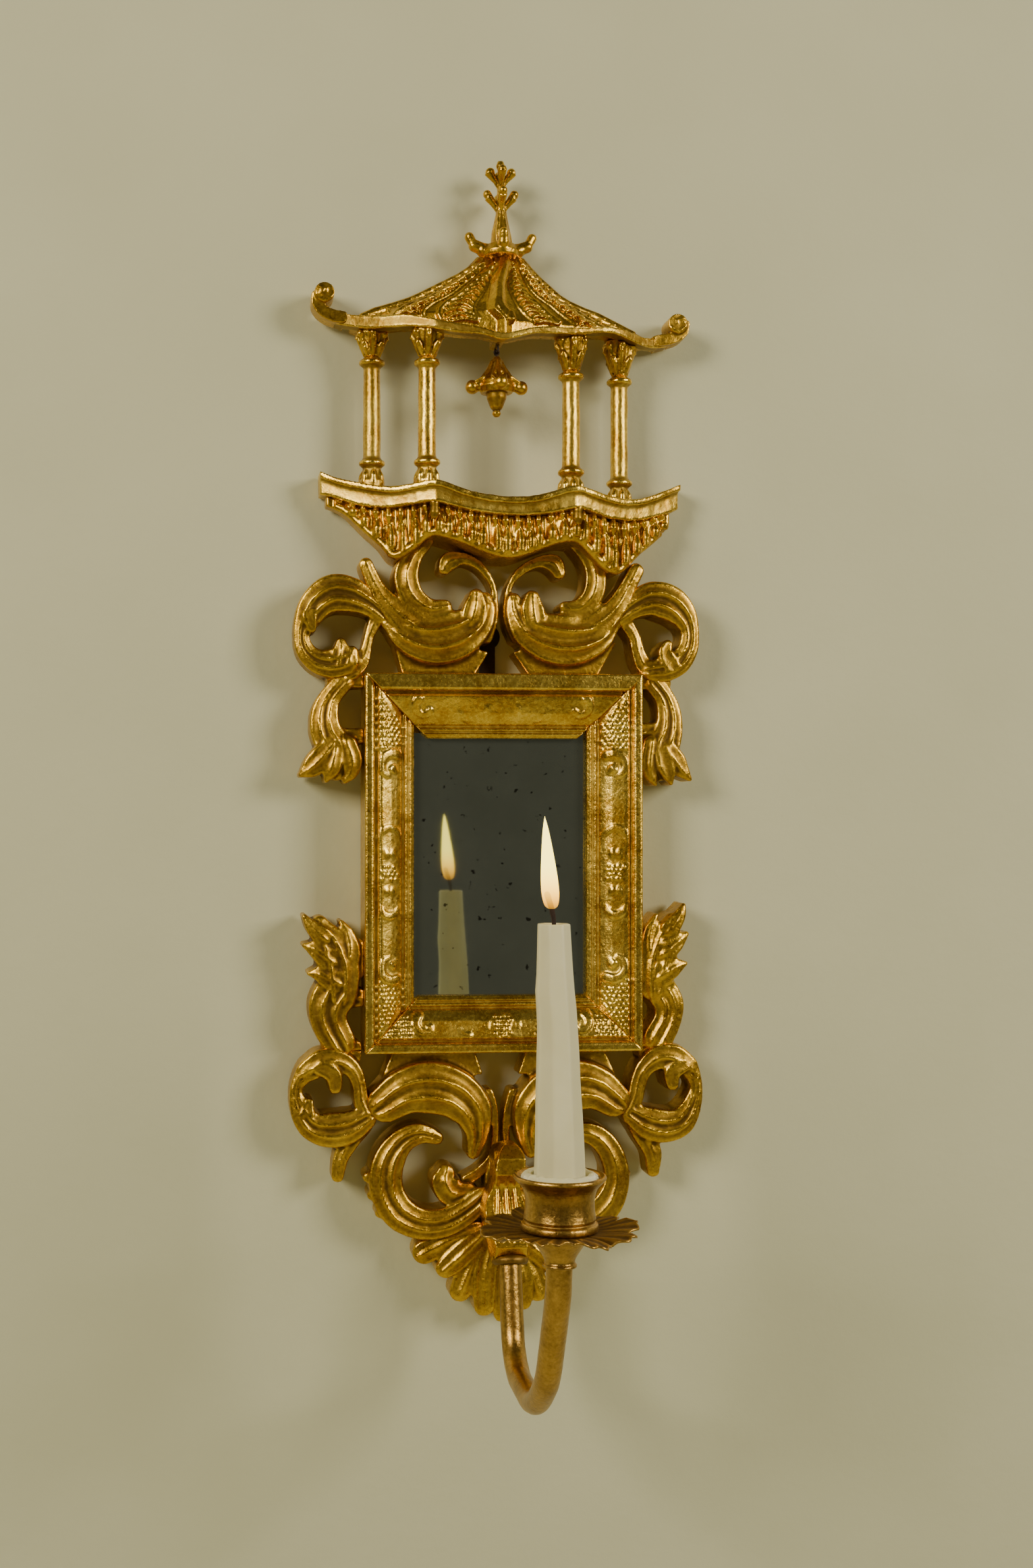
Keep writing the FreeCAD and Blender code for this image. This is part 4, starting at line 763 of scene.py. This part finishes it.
while x < 84:
    high, low = along_line(UNDER_CORNICE, x) + 1, along_line(hem_line, x) + 2.5
    front = along_line(VALANCE_FRONT, x)
    drop = random.uniform(0.28, 0.45) * (high - low)
    wide = random.uniform(1.7, 2.3)
    lean = random.uniform(-0.9, 0.9)
    if high - low > 6:
        pieces.append(strand([(x, front - 0.2, high, 1.2),
                              (x + lean * 0.3, front - 0.9, high - drop * 0.6, wide),
                              (x + lean * 0.5, front - 0.4, high - drop, 0.9)]))
        pieces.append(strand([(x + lean * 0.5 + 1.1, front - 0.2, high - drop, 0.8),
                              (x + lean + 1.1, front - 1.0, low + (high - drop - low) * 0.45, wide + 0.4),
                              (x + lean + 1.0, front - 0.8, low, wide)]))
    x += random.uniform(4.9, 6.2)
gesso(joined(pieces), "balcony_valance_fringed", "sconce", ["balcony_valance"], carved_gold,
      voxel=0.65, soften=2, ripple=0.25)
gesso(from_part("balcony_cornice"), "balcony_cornice_moulded", "sconce", ["balcony_cornice"],
      burnished, voxel=0.7, soften=3, ripple=0.8)
gesso(from_part("cornice_pegs"), "cornice_pegs_carved", "sconce", ["cornice_pegs"],
      carved_gold, voxel=0.4, soften=2, ripple=0.4)

# ---- columns and capitals -------------------------------------------------------------------------
# Four colonettes turned in limewood, each with a ring near both ends, a lobed foot and a basket of
# leaves under the eave.  They are pegged into the cornice.
# name, x, y, foot, lower ring, upper ring, top
COLUMNS = [("outer_left", -65.0, -14.0, 68.0, 85.5, 136.0, 151.5),
           ("inner_left", -39.0, -29.5, 66.0, 83.6, 133.0, 149.0),
           ("inner_right", 33.5, -29.5, 64.0, 79.8, 127.5, 146.5),
           ("outer_right", 61.7, -14.0, 62.0, 77.5, 129.0, 148.5)]
for name, x, y, foot, low, high, top in COLUMNS:
    lobes = []
    for k in range(7):
        a = 2 * math.pi * k / 7 + 0.3
        lobes.append(strand([(x + r * math.cos(a), y + r * math.sin(a), z, size) for r, z, size in (
            (4.0, low - 3.5, 1.0), (5.0, low - 6.5, 1.7), (5.4, low - 10.0, 1.6), (5.0, low - 13.0, 1.0))]))
    gesso(joined([from_part("column_" + name)] + lobes), "column_" + name + "_turned", "sconce",
          ["column_" + name], burnished, voxel=0.5, soften=2, ripple=0.5)
    neck = high + 2.8
    reach = top - neck
    leaves = [from_part("capital_" + name)]
    for k in range(8):
        a = 2 * math.pi * k / 8 + random.uniform(-0.12, 0.12)
        curve = [(3.6, neck + 0.5, 0.9), (4.6, neck + reach * 0.35, 1.6), (6.0, neck + reach * 0.68, 2.0),
                 (7.6, neck + reach * 0.86, 1.7), (8.0, neck + reach * 0.68, 0.9)]
        if k % 2:
            curve = [(r * 0.92, neck + (z - neck) * 0.6, size * 0.9) for r, z, size in curve]
        leaves.append(strand([(x + r * math.cos(a), y + r * math.sin(a), z, s) for r, z, s in curve]))
    gesso(joined(leaves), "capital_" + name + "_carved", "sconce", ["capital_" + name],
          carved_gold, voxel=0.45, soften=1, ripple=0.5)

# ---- pagoda roof ----------------------------------------------------------------------------------
# A tent roof carved from one block and hollowed behind: a smooth rib down the middle, bands of small
# overlapping scales and plain grooves between, a wavy eave and a curled knob at each end.
TENT = [(-76, 73, 36, 153), (-75, 62.5, 34.5, 158.3), (-64.8, 53, 31.5, 163.3), (-48.6, 39.6, 28, 168.4),
        (-38.5, 31.5, 24.5, 173.5), (-29.3, 26.4, 21, 178.5), (-19.7, 20.8, 17.5, 183.6),
        (-12.6, 16.3, 14.5, 188.7), (-8.1, 12.2, 12.5, 193.7)]
PLAN = [(-1, 0.25), (-0.62, 0.72), (0, 1), (0.62, 0.72), (1, 0.25)]


roof_block = from_part("pagoda_roof")
roof_skin = BVHTree.FromObject(roof_block, bpy.context.evaluated_depsgraph_get())


def on_tent(u, z):
    """A place on the roof: u from -1 at the left edge to 1 at the right one, at a height."""
    z = min(max(z, TENT[0][3]), TENT[-1][3])
    for low, high in zip(TENT, TENT[1:]):
        if z <= high[3]:
            t = (z - low[3]) / (high[3] - low[3])
            left, right, depth = (low[i] + (high[i] - low[i]) * t for i in range(3))
            break
    x, y = (left + right) / 2 + (right - left) / 2 * u, -2 - depth * along_line(PLAN, u)
    hit = roof_skin.ray_cast(Vector(((x + CENTRE) * MM, -90 * MM, z * MM)), Vector((0, 1, 0)))[0]
    return x, hit.y / MM if hit else y, z


def tent_rib(u_low, u_high, z_low, size_low, size_high, sink=0.0):
    line = []
    for k in range(13):
        t = k / 12
        x, y, z = on_tent(u_low + (u_high - u_low) * t, z_low + (192.5 - z_low) * t)
        line.append((x, y + sink, z, size_low + (size_high - size_low) * t))
    return strand(line, 2)


roof_parts = [roof_block]
roof_parts.append(tent_rib(0.04, 0.03, 153.5, 4.4, 2.0, 1.6))
x, y, z = on_tent(0.04, 153.0)
roof_parts.append(strand([(x, y - 0.2, z - 2.0, 1.4), (x, y - 1.8, z, 2.8), (x, y - 0.8, z + 4.0, 1.4)]))
for u in (-0.13, 0.17):
    roof_parts.append(tent_rib(u * 1.25, u, 153.5, 1.2, 0.7))
for u, size in ((-0.40, 1.7), (-0.52, 1.2), (0.40, 1.7), (0.52, 1.3), (-0.72, 1.5), (0.72, 1.5),
                (-0.97, 2.2), (0.97, 2.2)):
    roof_parts.append(tent_rib(u, u, 153.5, size, 0.9))
for u_in, u_out, z_low in ((-0.17, -0.36, 152.5), (0.21, 0.38, 152.5), (-0.55, -0.70, 154.5),
                           (0.55, 0.70, 154.5), (-0.80, -0.93, 156.0), (0.80, 0.93, 156.0)):
    z = z_low
    while z < 188:
        arc = []
        sag = 2.6 if abs(u_in) < 0.4 else 2.2
        for k in range(7):
            t = k / 6
            bow = math.sin(math.pi * t)
            x, y, height_here = on_tent(u_in + (u_out - u_in) * t, z + sag * bow - 1.2)
            arc.append((x, y - 0.5 - 0.7 * bow, height_here, 1.0))
        roof_parts.append(strand(arc, 0))
        z += 2.9
gesso(joined(roof_parts), "pagoda_roof_carved", "sconce", ["pagoda_roof"], carved_gold,
      voxel=0.46, soften=1, ripple=0.15)
gesso(from_part("roof_eave"), "roof_eave_carved", "sconce", ["roof_eave"], burnished,
      voxel=0.6, soften=4, ripple=0.8)
for side, knob_x, knob_z in (("left", -89.0, 170.3), ("right", 91.3, 158.8)):
    turned_in = [(knob_x + r * math.cos(a), -18.0, knob_z + r * math.sin(a), 1.1) for r, a in
                 ((4.2, 3.6), (4.4, 4.8), (4.2, 6.0), (3.2, 7.2), (1.8, 8.4), (0.4, 9.6))]
    if side == "left":
        turned_in = [(2 * knob_x - x, y, z, r) for x, y, z, r in turned_in]
    gesso(joined([from_part("roof_curl_" + side), strand(turned_in)]), "roof_curl_" + side + "_carved",
          "sconce", ["roof_curl_" + side], carved_gold, voxel=0.5, soften=3, ripple=0.5)

# ---- finial ---------------------------------------------------------------------------------------
# On the peak sits a crescent with upturned horns, and out of it grows a stem with two whorls of buds.
# Carved in limewood and gilded; the thin stem is rough with many coats of gesso.
horn_lines = []
for s in (-1, 1):
    horn_lines.append(strand([(0.6 + s * 2, -14, 196.5, 1.4), (0.6 + s * 9, -15.5, 196.6, 1.3),
                              (0.6 + s * 13.6, -15.5, 198.4, 1.2), (0.6 + s * 16.2, -15, 201.5, 1.6)]))
gesso(joined([from_part("finial_crescent")] + horn_lines), "finial_crescent_carved", "sconce",
      ["finial_crescent"], carved_gold, voxel=0.45, soften=2, ripple=0.7)
buds = [from_part("finial_spire")]
for base, out, up in ((214.5, 7.4, 223.6), (227.0, 5.8, 234.8)):
    for k in range(4):
        a = math.radians(90 * k)
        dx, dy = math.cos(a), math.sin(a)
        buds.append(strand([(0.6 + dx * r, -14 + dy * r, z, size) for r, z, size in (
            (1.2, base - 1, 0.7), (out * 0.6, base + 4.2, 1.5), (out * 0.98, up - 0.6, 1.7),
            (out * 0.8, up + 1.2, 0.8))]))
for k in range(3):
    a = math.radians(60 * k - 120)
    buds.append(strand([(0.6 + r * math.cos(a), -14 + r * math.sin(a), z, 0.8) for r, z in (
        (5.4, 196), (4.6, 203), (3.2, 209), (2.0, 216))]))
gesso(joined(buds), "finial_spire_carved", "sconce", ["finial_spire"], carved_gold,
      voxel=0.4, soften=1, ripple=0.6)

# ---- bell -----------------------------------------------------------------------------------------
# A small wooden bell with four ball-ended petals and a faceted drop.  It hangs on a wire eye from a
# staple behind the eave and swings sideways.
BELL = (-3.5, -26.0)
veins = [from_part("bell_body")]
for k in range(4):
    a = math.radians(90 * k)
    for off in (-0.42, 0.0, 0.42):
        veins.append(strand([(BELL[0] + r * math.cos(a + off * t),
                              BELL[1] + r * math.sin(a + off * t), z, s)
                             for r, t, z, s in ((2.4, 0.2, 136, 0.6), (4.2, 0.7, 131.5, 0.9),
                                                (7.4, 1.0, 127.0, 0.9), (11.4, 0.5, 124.6, 0.6))]))
boss = (BELL[0], BELL[1] - 9.2, 124.2)
veins.append(strand([(boss[0], boss[1] + 2, boss[2], 2.2), (boss[0], boss[1] - 1.6, boss[2], 1.9),
                     (boss[0], boss[1] - 2.8, boss[2], 0.8)]))
gesso(joined(veins), "bell_body_carved", "bell", ["bell_body"], carved_gold, voxel=0.4,
      soften=1, ripple=0.4)
bpy.ops.object.select_all(action="DESELECT")
bpy.ops.mesh.primitive_cone_add(vertices=6, radius1=1.7, radius2=5.2, depth=9.0,
                                location=(BELL[0], BELL[1], 115.4), rotation=(0, 0, math.radians(30)))
drop = bpy.context.object
bpy.ops.object.transform_apply(location=True, rotation=True, scale=True)
finish(drop, "BEVEL", width=0.45, segments=2)
drop.data.transform(PLACE)
gesso(joined([drop, from_part("bell_drop")]), "bell_drop_carved", "bell", ["bell_drop"],
      carved_gold, voxel=0.35, soften=1, ripple=0.2)

# ---- arm ------------------------------------------------------------------------------------------
# A brass tube bent in a loop carries the candle out in front of the glass.  A carved leaf bracket
# screwed to the spine holds its wall end, under a soldered ring.  The metal was oil gilt, so it is
# duller than the wood and has gone brown in spots.
# the pan, ferrule and cup also get painted shade in their hollows; the tube's even relief leaves it without
gilt_brass = gilding("oil_gilt_brass", "#cfa552", "#86642a", "#4a3418", -0.06, 0.24, 1.2)
ARM_X = -0.5
CANDLE_Y = -166.0
ridges = [from_part("arm_bracket")]
for s in (-1, 0, 1):
    ridges.append(strand([(ARM_X + s * 3.0, -22.0, -259, 0.8), (ARM_X + s * 4.6, -34.5, -258.5, 1.3),
                          (ARM_X + s * 5.2, -40.6, -266, 1.3), (ARM_X + s * 4.2, -35.2, -275, 1.1),
                          (ARM_X + s * 5.0, -39.5, -288, 1.3), (ARM_X + s * 5.2, -52.8, -297, 1.4),
                          (ARM_X + s * 4.6, -50.0, -305.5, 1.1)]))
gesso(joined(ridges), "arm_bracket_carved", "sconce", ["arm_bracket"], carved_gold,
      voxel=0.55, soften=2, ripple=0.6)

ARM_CORNERS = [((-38, -292), 0), ((-46.5, -306), 60), ((-57.5, -357.5), 24), ((-112, -358.5), 45),
               ((-140, -338), 45), ((-162.5, -296), 45), ((CANDLE_Y, -277), 0)]
centre_line = [Vector(ARM_CORNERS[0][0])]
for k in range(1, len(ARM_CORNERS) - 1):
    before, here, after = (Vector(ARM_CORNERS[k + i][0]) for i in (-1, 0, 1))
    bend = ARM_CORNERS[k][1]
    a = (here - before).normalized()
    b = (after - here).normalized()
    turn = a.angle(b)
    reach = bend * math.tan(turn / 2)
    inwards = (b - a).normalized()
    centre = here + inwards * (bend / math.cos(turn / 2))
    start_arm = (here - a * reach) - centre
    for i in range(13):
        t = i / 12
        mix = start_arm.lerp((here + b * reach) - centre, t).normalized() * bend
        centre_line.append(centre + mix)
centre_line.append(Vector(ARM_CORNERS[-1][0]))
tube = strand([(ARM_X, y, z, 5.75) for y, z in centre_line], 6)
finish(tube, "REMESH", mode="VOXEL", voxel_size=0.0009)
finish(tube, "SMOOTH", factor=0.5, iterations=3)
finish(tube, "DISPLACE", texture=hand_cut, texture_coords="LOCAL", strength=0.00025, mid_level=0.5)
tube.name = "arm_tube_bent"
coat(tube, "sconce", ["arm_tube"], gilt_brass, even=True)
bead = from_part("arm_collar")
gesso(bead, "arm_collar_ring", "sconce", ["arm_collar"], gilt_brass, voxel=0.35, soften=2,
      ripple=0.15)


def spun(name, profile, x, y, turns=96):
    """Turns (radius, z) points round an upright axis into a closed shell."""
    shape = bpy.data.curves.new(name, "CURVE")
    shape.dimensions = "3D"
    spline = shape.splines.new("POLY")
    spline.points.add(len(profile) - 1)
    for point, (r, z) in zip(spline.points, profile):
        point.co = (x + r, y, z, 1)
    item = as_mesh(shape, name)
    only(item)
    bpy.ops.object.mode_set(mode="EDIT")
    bpy.ops.mesh.select_all(action="SELECT")
    bpy.ops.mesh.spin(steps=turns, angle=2 * math.pi, center=(x, y, 0), axis=(0, 0, 1))
    bpy.ops.mesh.select_all(action="SELECT")
    bpy.ops.mesh.remove_doubles(threshold=0.01)
    bpy.ops.mesh.normals_make_consistent(inside=False)
    bpy.ops.object.mode_set(mode="OBJECT")
    return item


# ---- drip pan, ferrule and cup --------------------------------------------------------------------
# The ferrule and the bell-mouthed cup are turned and drilled brass.  The pan between them is a leaf
# rosette, cut and chased from sheet, with a crumpled lobed edge.  A stud holds all three.
under = [(0.0, -267.6), (9.0, -267.5), (18.0, -267.0), (26.0, -266.4), (32.0, -266.0), (34.4, -265.6)]
over = [(34.4, -264.7), (31.5, -264.9), (26.0, -265.1), (18.0, -265.5), (9.0, -265.7), (0.0, -265.7)]
pan = spun("drip_pan_leafed", eased(under, 4)
           + eased(over, 4), ARM_X, CANDLE_Y, 220)
for vertex in pan.data.vertices:
    dx, dy = vertex.co.x - ARM_X, vertex.co.y - CANDLE_Y
    r, a = math.hypot(dx, dy), math.atan2(dy, dx)
    if r < 15:
        continue
    out = (r - 15) / 19.4
    lobe = abs(math.cos(5 * a)) ** 0.7
    tooth = abs(math.sin(15 * a + 0.4))
    grow = 1 - out * (0.20 * (1 - lobe) + 0.045 * (1 - tooth))
    vertex.co.x = ARM_X + dx * grow
    vertex.co.y = CANDLE_Y + dy * grow
    rise = 2.6 * out ** 1.6 * (0.55 + 0.45 * math.sin(3 * a + 1.2) + 0.3 * math.sin(7 * a))
    vertex.co.z += rise + out * (0.75 * math.cos(30 * a) * 0.5 + 1.3 * (lobe - 0.6)) - 1.3 * out ** 3
pan.data.transform(PLACE)
coat(pan, "sconce", ["drip_pan"], gilt_brass)
ferrule = spun("arm_ferrule_turned", eased([
    (0, -281.0), (6.3, -281.0), (7.3, -280.0), (6.5, -278.6), (7.2, -276.4), (10, -272.0), (13, -267.7),
    (13.0, -267.6), (0, -267.6)], 4), ARM_X, CANDLE_Y)
ferrule.data.transform(PLACE)
coat(ferrule, "sconce", ["arm_ferrule"], gilt_brass)
cup_outside = eased([(15.2, -265.6), (16.2, -264.9), (16.4, -263.6), (16.0, -262.3), (15.0, -261.7),
                     (14.8, -261.0), (15.3, -260.3), (15.1, -259.0), (14.7, -256.0), (14.8, -251.5),
                     (16.0, -247.4), (18.6, -244.6), (19.7, -243.2), (19.4, -242.2)], 4)
cup_inside = eased([(18.6, -241.9), (17.4, -242.6), (15.6, -244.9), (14.0, -248.0), (12.3, -249.5)], 3)
cup = spun("candle_cup_turned", [(0.0, -265.6)] + cup_outside + cup_inside
           + [(12.25, -259.5), (0.0, -259.5)], ARM_X, CANDLE_Y, 128)
cup.data.transform(PLACE)
coat(cup, "sconce", ["candle_cup"], gilt_brass)

# ---- candle ---------------------------------------------------------------------------------------
# An eight-sided dipped taper of white wax, leaning a little in its socket and bedded in soft wax.  The
# wick is plaited cotton, charred, and it is alight.  The candle lifts out of its cup.
# poured in layers and rubbed smooth: cloudy, and light goes a little way into it
white_wax = grained("white_candle_wax", "#d2cb9e", "#e2dcb6", {"Scale": 60.0, "Detail": 3.0},
                    (0.25, 0.0006), {
                        "Roughness": 0.38, "IOR": 1.44, "Subsurface Weight": 0.3,
                        "Subsurface Radius": (0.004, 0.0035, 0.002), "Subsurface Scale": 0.5})

CANDLE_FOOT, CANDLE_TOP = -258.2, -136.0
FOOT_R, TOP_R, DIPS = 11.0, 6.6, 17     # half widths across flats, and how many even lengths
bpy.ops.object.select_all(action="DESELECT")
bpy.ops.mesh.primitive_circle_add(vertices=8, radius=FOOT_R / math.cos(math.pi / 8), fill_type="NGON",
                                  location=(ARM_X, CANDLE_Y, CANDLE_FOOT), rotation=(0, 0, math.pi / 8))
candle = bpy.context.object
bpy.ops.object.mode_set(mode="EDIT")
widths = [FOOT_R + (TOP_R - FOOT_R) * (k / DIPS) for k in range(DIPS + 1)]
for k in range(DIPS):
    rise = (CANDLE_TOP - CANDLE_FOOT) / DIPS
    bpy.ops.mesh.extrude_region_move(TRANSFORM_OT_translate={"value": (0, 0, rise)})
    ratio = widths[k + 1] / widths[k]
    bpy.ops.transform.resize(value=(ratio, ratio, 1), center_override=(ARM_X, CANDLE_Y, 0))
bpy.ops.mesh.inset(thickness=1.3)
bpy.ops.transform.translate(value=(0, 0, -0.6))
bpy.ops.mesh.inset(thickness=2.6)
bpy.ops.transform.translate(value=(0, 0, -0.5))
bpy.ops.mesh.select_all(action="SELECT")
bpy.ops.mesh.normals_make_consistent(inside=False)
bpy.ops.object.mode_set(mode="OBJECT")
bpy.ops.object.transform_apply(location=True, rotation=True, scale=True)
finish(candle, "BEVEL", width=1.1, segments=3, limit_method="ANGLE", angle_limit=math.radians(30))
for vertex in candle.data.vertices:
    t = (vertex.co.z - CANDLE_FOOT) / (CANDLE_TOP - CANDLE_FOOT)
    vertex.co.x -= 2.7 * t * t
    sway = 0.22 * math.sin(vertex.co.z * 0.13) * t
    vertex.co.x += sway
    dent = math.exp(-((vertex.co.z + 166) / 7) ** 2)
    if vertex.co.x < ARM_X - 4:
        vertex.co.x -= 0.7 * dent
candle.data.transform(PLACE)
finish(candle, "DISPLACE", texture=hand_cut, texture_coords="LOCAL", strength=0.00035, mid_level=0.5)
candle.name = "candle_taper"
only(candle)
bpy.ops.object.shade_smooth_by_angle(angle=math.radians(35))
settle(candle, "candle", ["candle"], white_wax)

soft_wax = from_part("wax_packing")
finish(soft_wax, "REMESH", mode="VOXEL", voxel_size=0.0005)
crumple = bpy.data.textures.new("crumpled_wax", "CLOUDS")
crumple.noise_scale = 0.0035
finish(soft_wax, "DISPLACE", texture=crumple, texture_coords="LOCAL", strength=0.0016, mid_level=0.45)
finish(soft_wax, "SMOOTH", factor=0.5, iterations=1)
soft_wax.name = "wax_packing_pressed"
bpy.ops.object.shade_smooth()
settle(soft_wax, "sconce", ["wax_packing"], white_wax)

# plaited cotton burnt black, brown where the flame has not reached
charred = grained("charred_cotton_wick", "#0e0b09", "#3a2418", {"Scale": 1400.0, "Detail": 2.0}, None,
                  {"Roughness": 0.9})
TIP_X = ARM_X - 2.7
wick_line = [(TIP_X + 0.3, CANDLE_Y, CANDLE_TOP - 3, 0.9), (TIP_X + 0.2, CANDLE_Y, CANDLE_TOP + 1, 0.95),
             (TIP_X - 0.2, CANDLE_Y, CANDLE_TOP + 3.5, 1.1), (TIP_X - 0.9, CANDLE_Y, CANDLE_TOP + 6.5, 1.2),
             (TIP_X - 1.9, CANDLE_Y - 0.3, CANDLE_TOP + 9.5, 1.25),
             (TIP_X - 2.7, CANDLE_Y - 0.4, CANDLE_TOP + 12.0, 1.3),
             (TIP_X - 3.0, CANDLE_Y - 0.4, CANDLE_TOP + 13.2, 0.6)]
wick = strand(eased(wick_line, 4), 3)
wick.name = "candle_wick_charred"
only(wick)
bpy.ops.object.shade_smooth()
settle(wick, "candle", ["candle_wick"], charred)

# a small still flame: nearly clear round the wick and bright above it
burning, tree = new_material("candle_flame")
place = add(tree, "TexCoord").outputs["Object"]
split = add(tree, "SeparateXYZ", {"Vector": place})
up = add(tree, "MapRange", {"Value": split.outputs["Z"], 1: -0.128, 2: -0.112})
heat = add(tree, "Mix", {"Factor": up.outputs[0], 6: linear("#ffb020"), 7: linear("#ffe468")},
           data_type="RGBA")
glow = add(tree, "Emission", {"Color": heat.outputs[2], "Strength": 5.0})
clear_gas = add(tree, "BsdfTransparent")
thick = add(tree, "MapRange", {"Value": split.outputs["Z"], 1: -0.130, 2: -0.117, 3: 0.12, 4: 0.97})
fire = add(tree, "MixShader", {0: thick.outputs[0], 1: clear_gas.outputs[0], 2: glow.outputs[0]})
add(tree, "OutputMaterial", {"Surface": fire.outputs[0]})
flame_profile = eased([(0.0, -130.5), (2.6, -129.0), (3.6, -125.0), (3.7, -120.0), (3.2, -113.0),
                       (2.1, -103.0), (1.0, -95.5), (0.0, -91.0)], 4)
flame = spun("candle_flame_body", flame_profile, TIP_X - 2.2, CANDLE_Y, 32)
for vertex in flame.data.vertices:
    vertex.co.x += 0.075 * (-111 - vertex.co.z)
flame.data.transform(PLACE)
only(flame)
bpy.ops.object.shade_smooth()
settle(flame, "candle", [], burning)

# ---- stage ----------------------------------------------------------------------------------------
# A pale wall that the sconce hangs on and a pale floor far below it.  Two soft lights in front, left and
# right, throw two soft shadows of each part; two weak ones behind light the back through the wall.
plaster, tree = new_material("pale_plaster")
place = add(tree, "TexCoord").outputs["Object"]
broad = add(tree, "TexNoise", {"Vector": place, "Scale": 9.0, "Detail": 3.0})
trowel = add(tree, "TexNoise", {"Vector": place, "Scale": 160.0, "Detail": 4.0})
paint = add(tree, "Mix", {"Factor": broad.outputs["Fac"], 6: linear("#bcbc98"), 7: linear("#c9c8a6")},
            data_type="RGBA")
uneven = add(tree, "Bump", {"Height": trowel.outputs["Fac"], "Strength": 0.3, "Distance": 0.0008})
shader = add(tree, "BsdfPrincipled", {"Base Color": paint.outputs[2], "Roughness": 0.7,
                                      "Normal": uneven.outputs[0]})
clear = add(tree, "BsdfTransparent")
behind = add(tree, "NewGeometry").outputs["Backfacing"]
seen = add(tree, "MixShader", {0: behind, 1: shader.outputs[0], 2: clear.outputs[0]})
add(tree, "OutputMaterial", {"Surface": seen.outputs[0]})
bpy.ops.object.select_all(action="DESELECT")
bpy.ops.mesh.primitive_plane_add(size=6, location=(0, 0.0015, 0), rotation=(math.pi / 2, 0, 0))
wall = bpy.context.object
wall.name = "stage_wall"
wall.visible_shadow = False
wall.data.materials.append(plaster)
bpy.ops.mesh.primitive_plane_add(size=6, location=(0, -1.2, -1.1))
floor = bpy.context.object
floor.name = "stage_floor"
floor.data.materials.append(plaster)

LIGHTS = [("stage_light_left", (-1.5, -1.5, 0.7), 0.7, 35, "#fff4e0"),
          ("stage_light_right", (1.5, -1.4, 0.55), 0.7, 29, "#fff6e6"),
          ("stage_light_back_left", (-1.3, 1.3, 0.9), 0.8, 8, "#fff6ea"),
          ("stage_light_back_right", (1.3, 1.2, 0.6), 0.8, 6, "#fff6ea")]
for name, spot, size, power, tint in LIGHTS:
    lamp = bpy.data.lights.new(name, "AREA")
    lamp.size = size
    lamp.energy = power
    lamp.color = linear(tint)[:3]
    holder = bpy.data.objects.new(name, lamp)
    bpy.context.scene.collection.objects.link(holder)
    holder.location = spot
    holder.rotation_euler = (Vector((0, 0, -0.05)) - Vector(spot)).to_track_quat("-Z", "Y").to_euler()

world = bpy.data.worlds.new("studio")
world.use_nodes = True
world.node_tree.nodes["Background"].inputs["Color"].default_value = linear("#868478")
world.node_tree.nodes["Background"].inputs["Strength"].default_value = 0.32
bpy.context.scene.world = world

lens = bpy.data.cameras.new("camera")
lens.lens = 41.0
lens.sensor_width = 36.0
lens.shift_x = 0.103
lens.shift_y = 0.015
lens.clip_start = 0.01
camera = bpy.data.objects.new("camera", lens)
bpy.context.scene.collection.objects.link(camera)
camera.location = (-0.1498, -0.908, -0.0874)
camera.rotation_euler = (math.pi / 2, 0, math.radians(-5.15))
bpy.context.scene.camera = camera
for section in gouges:
    bpy.data.objects.remove(section)
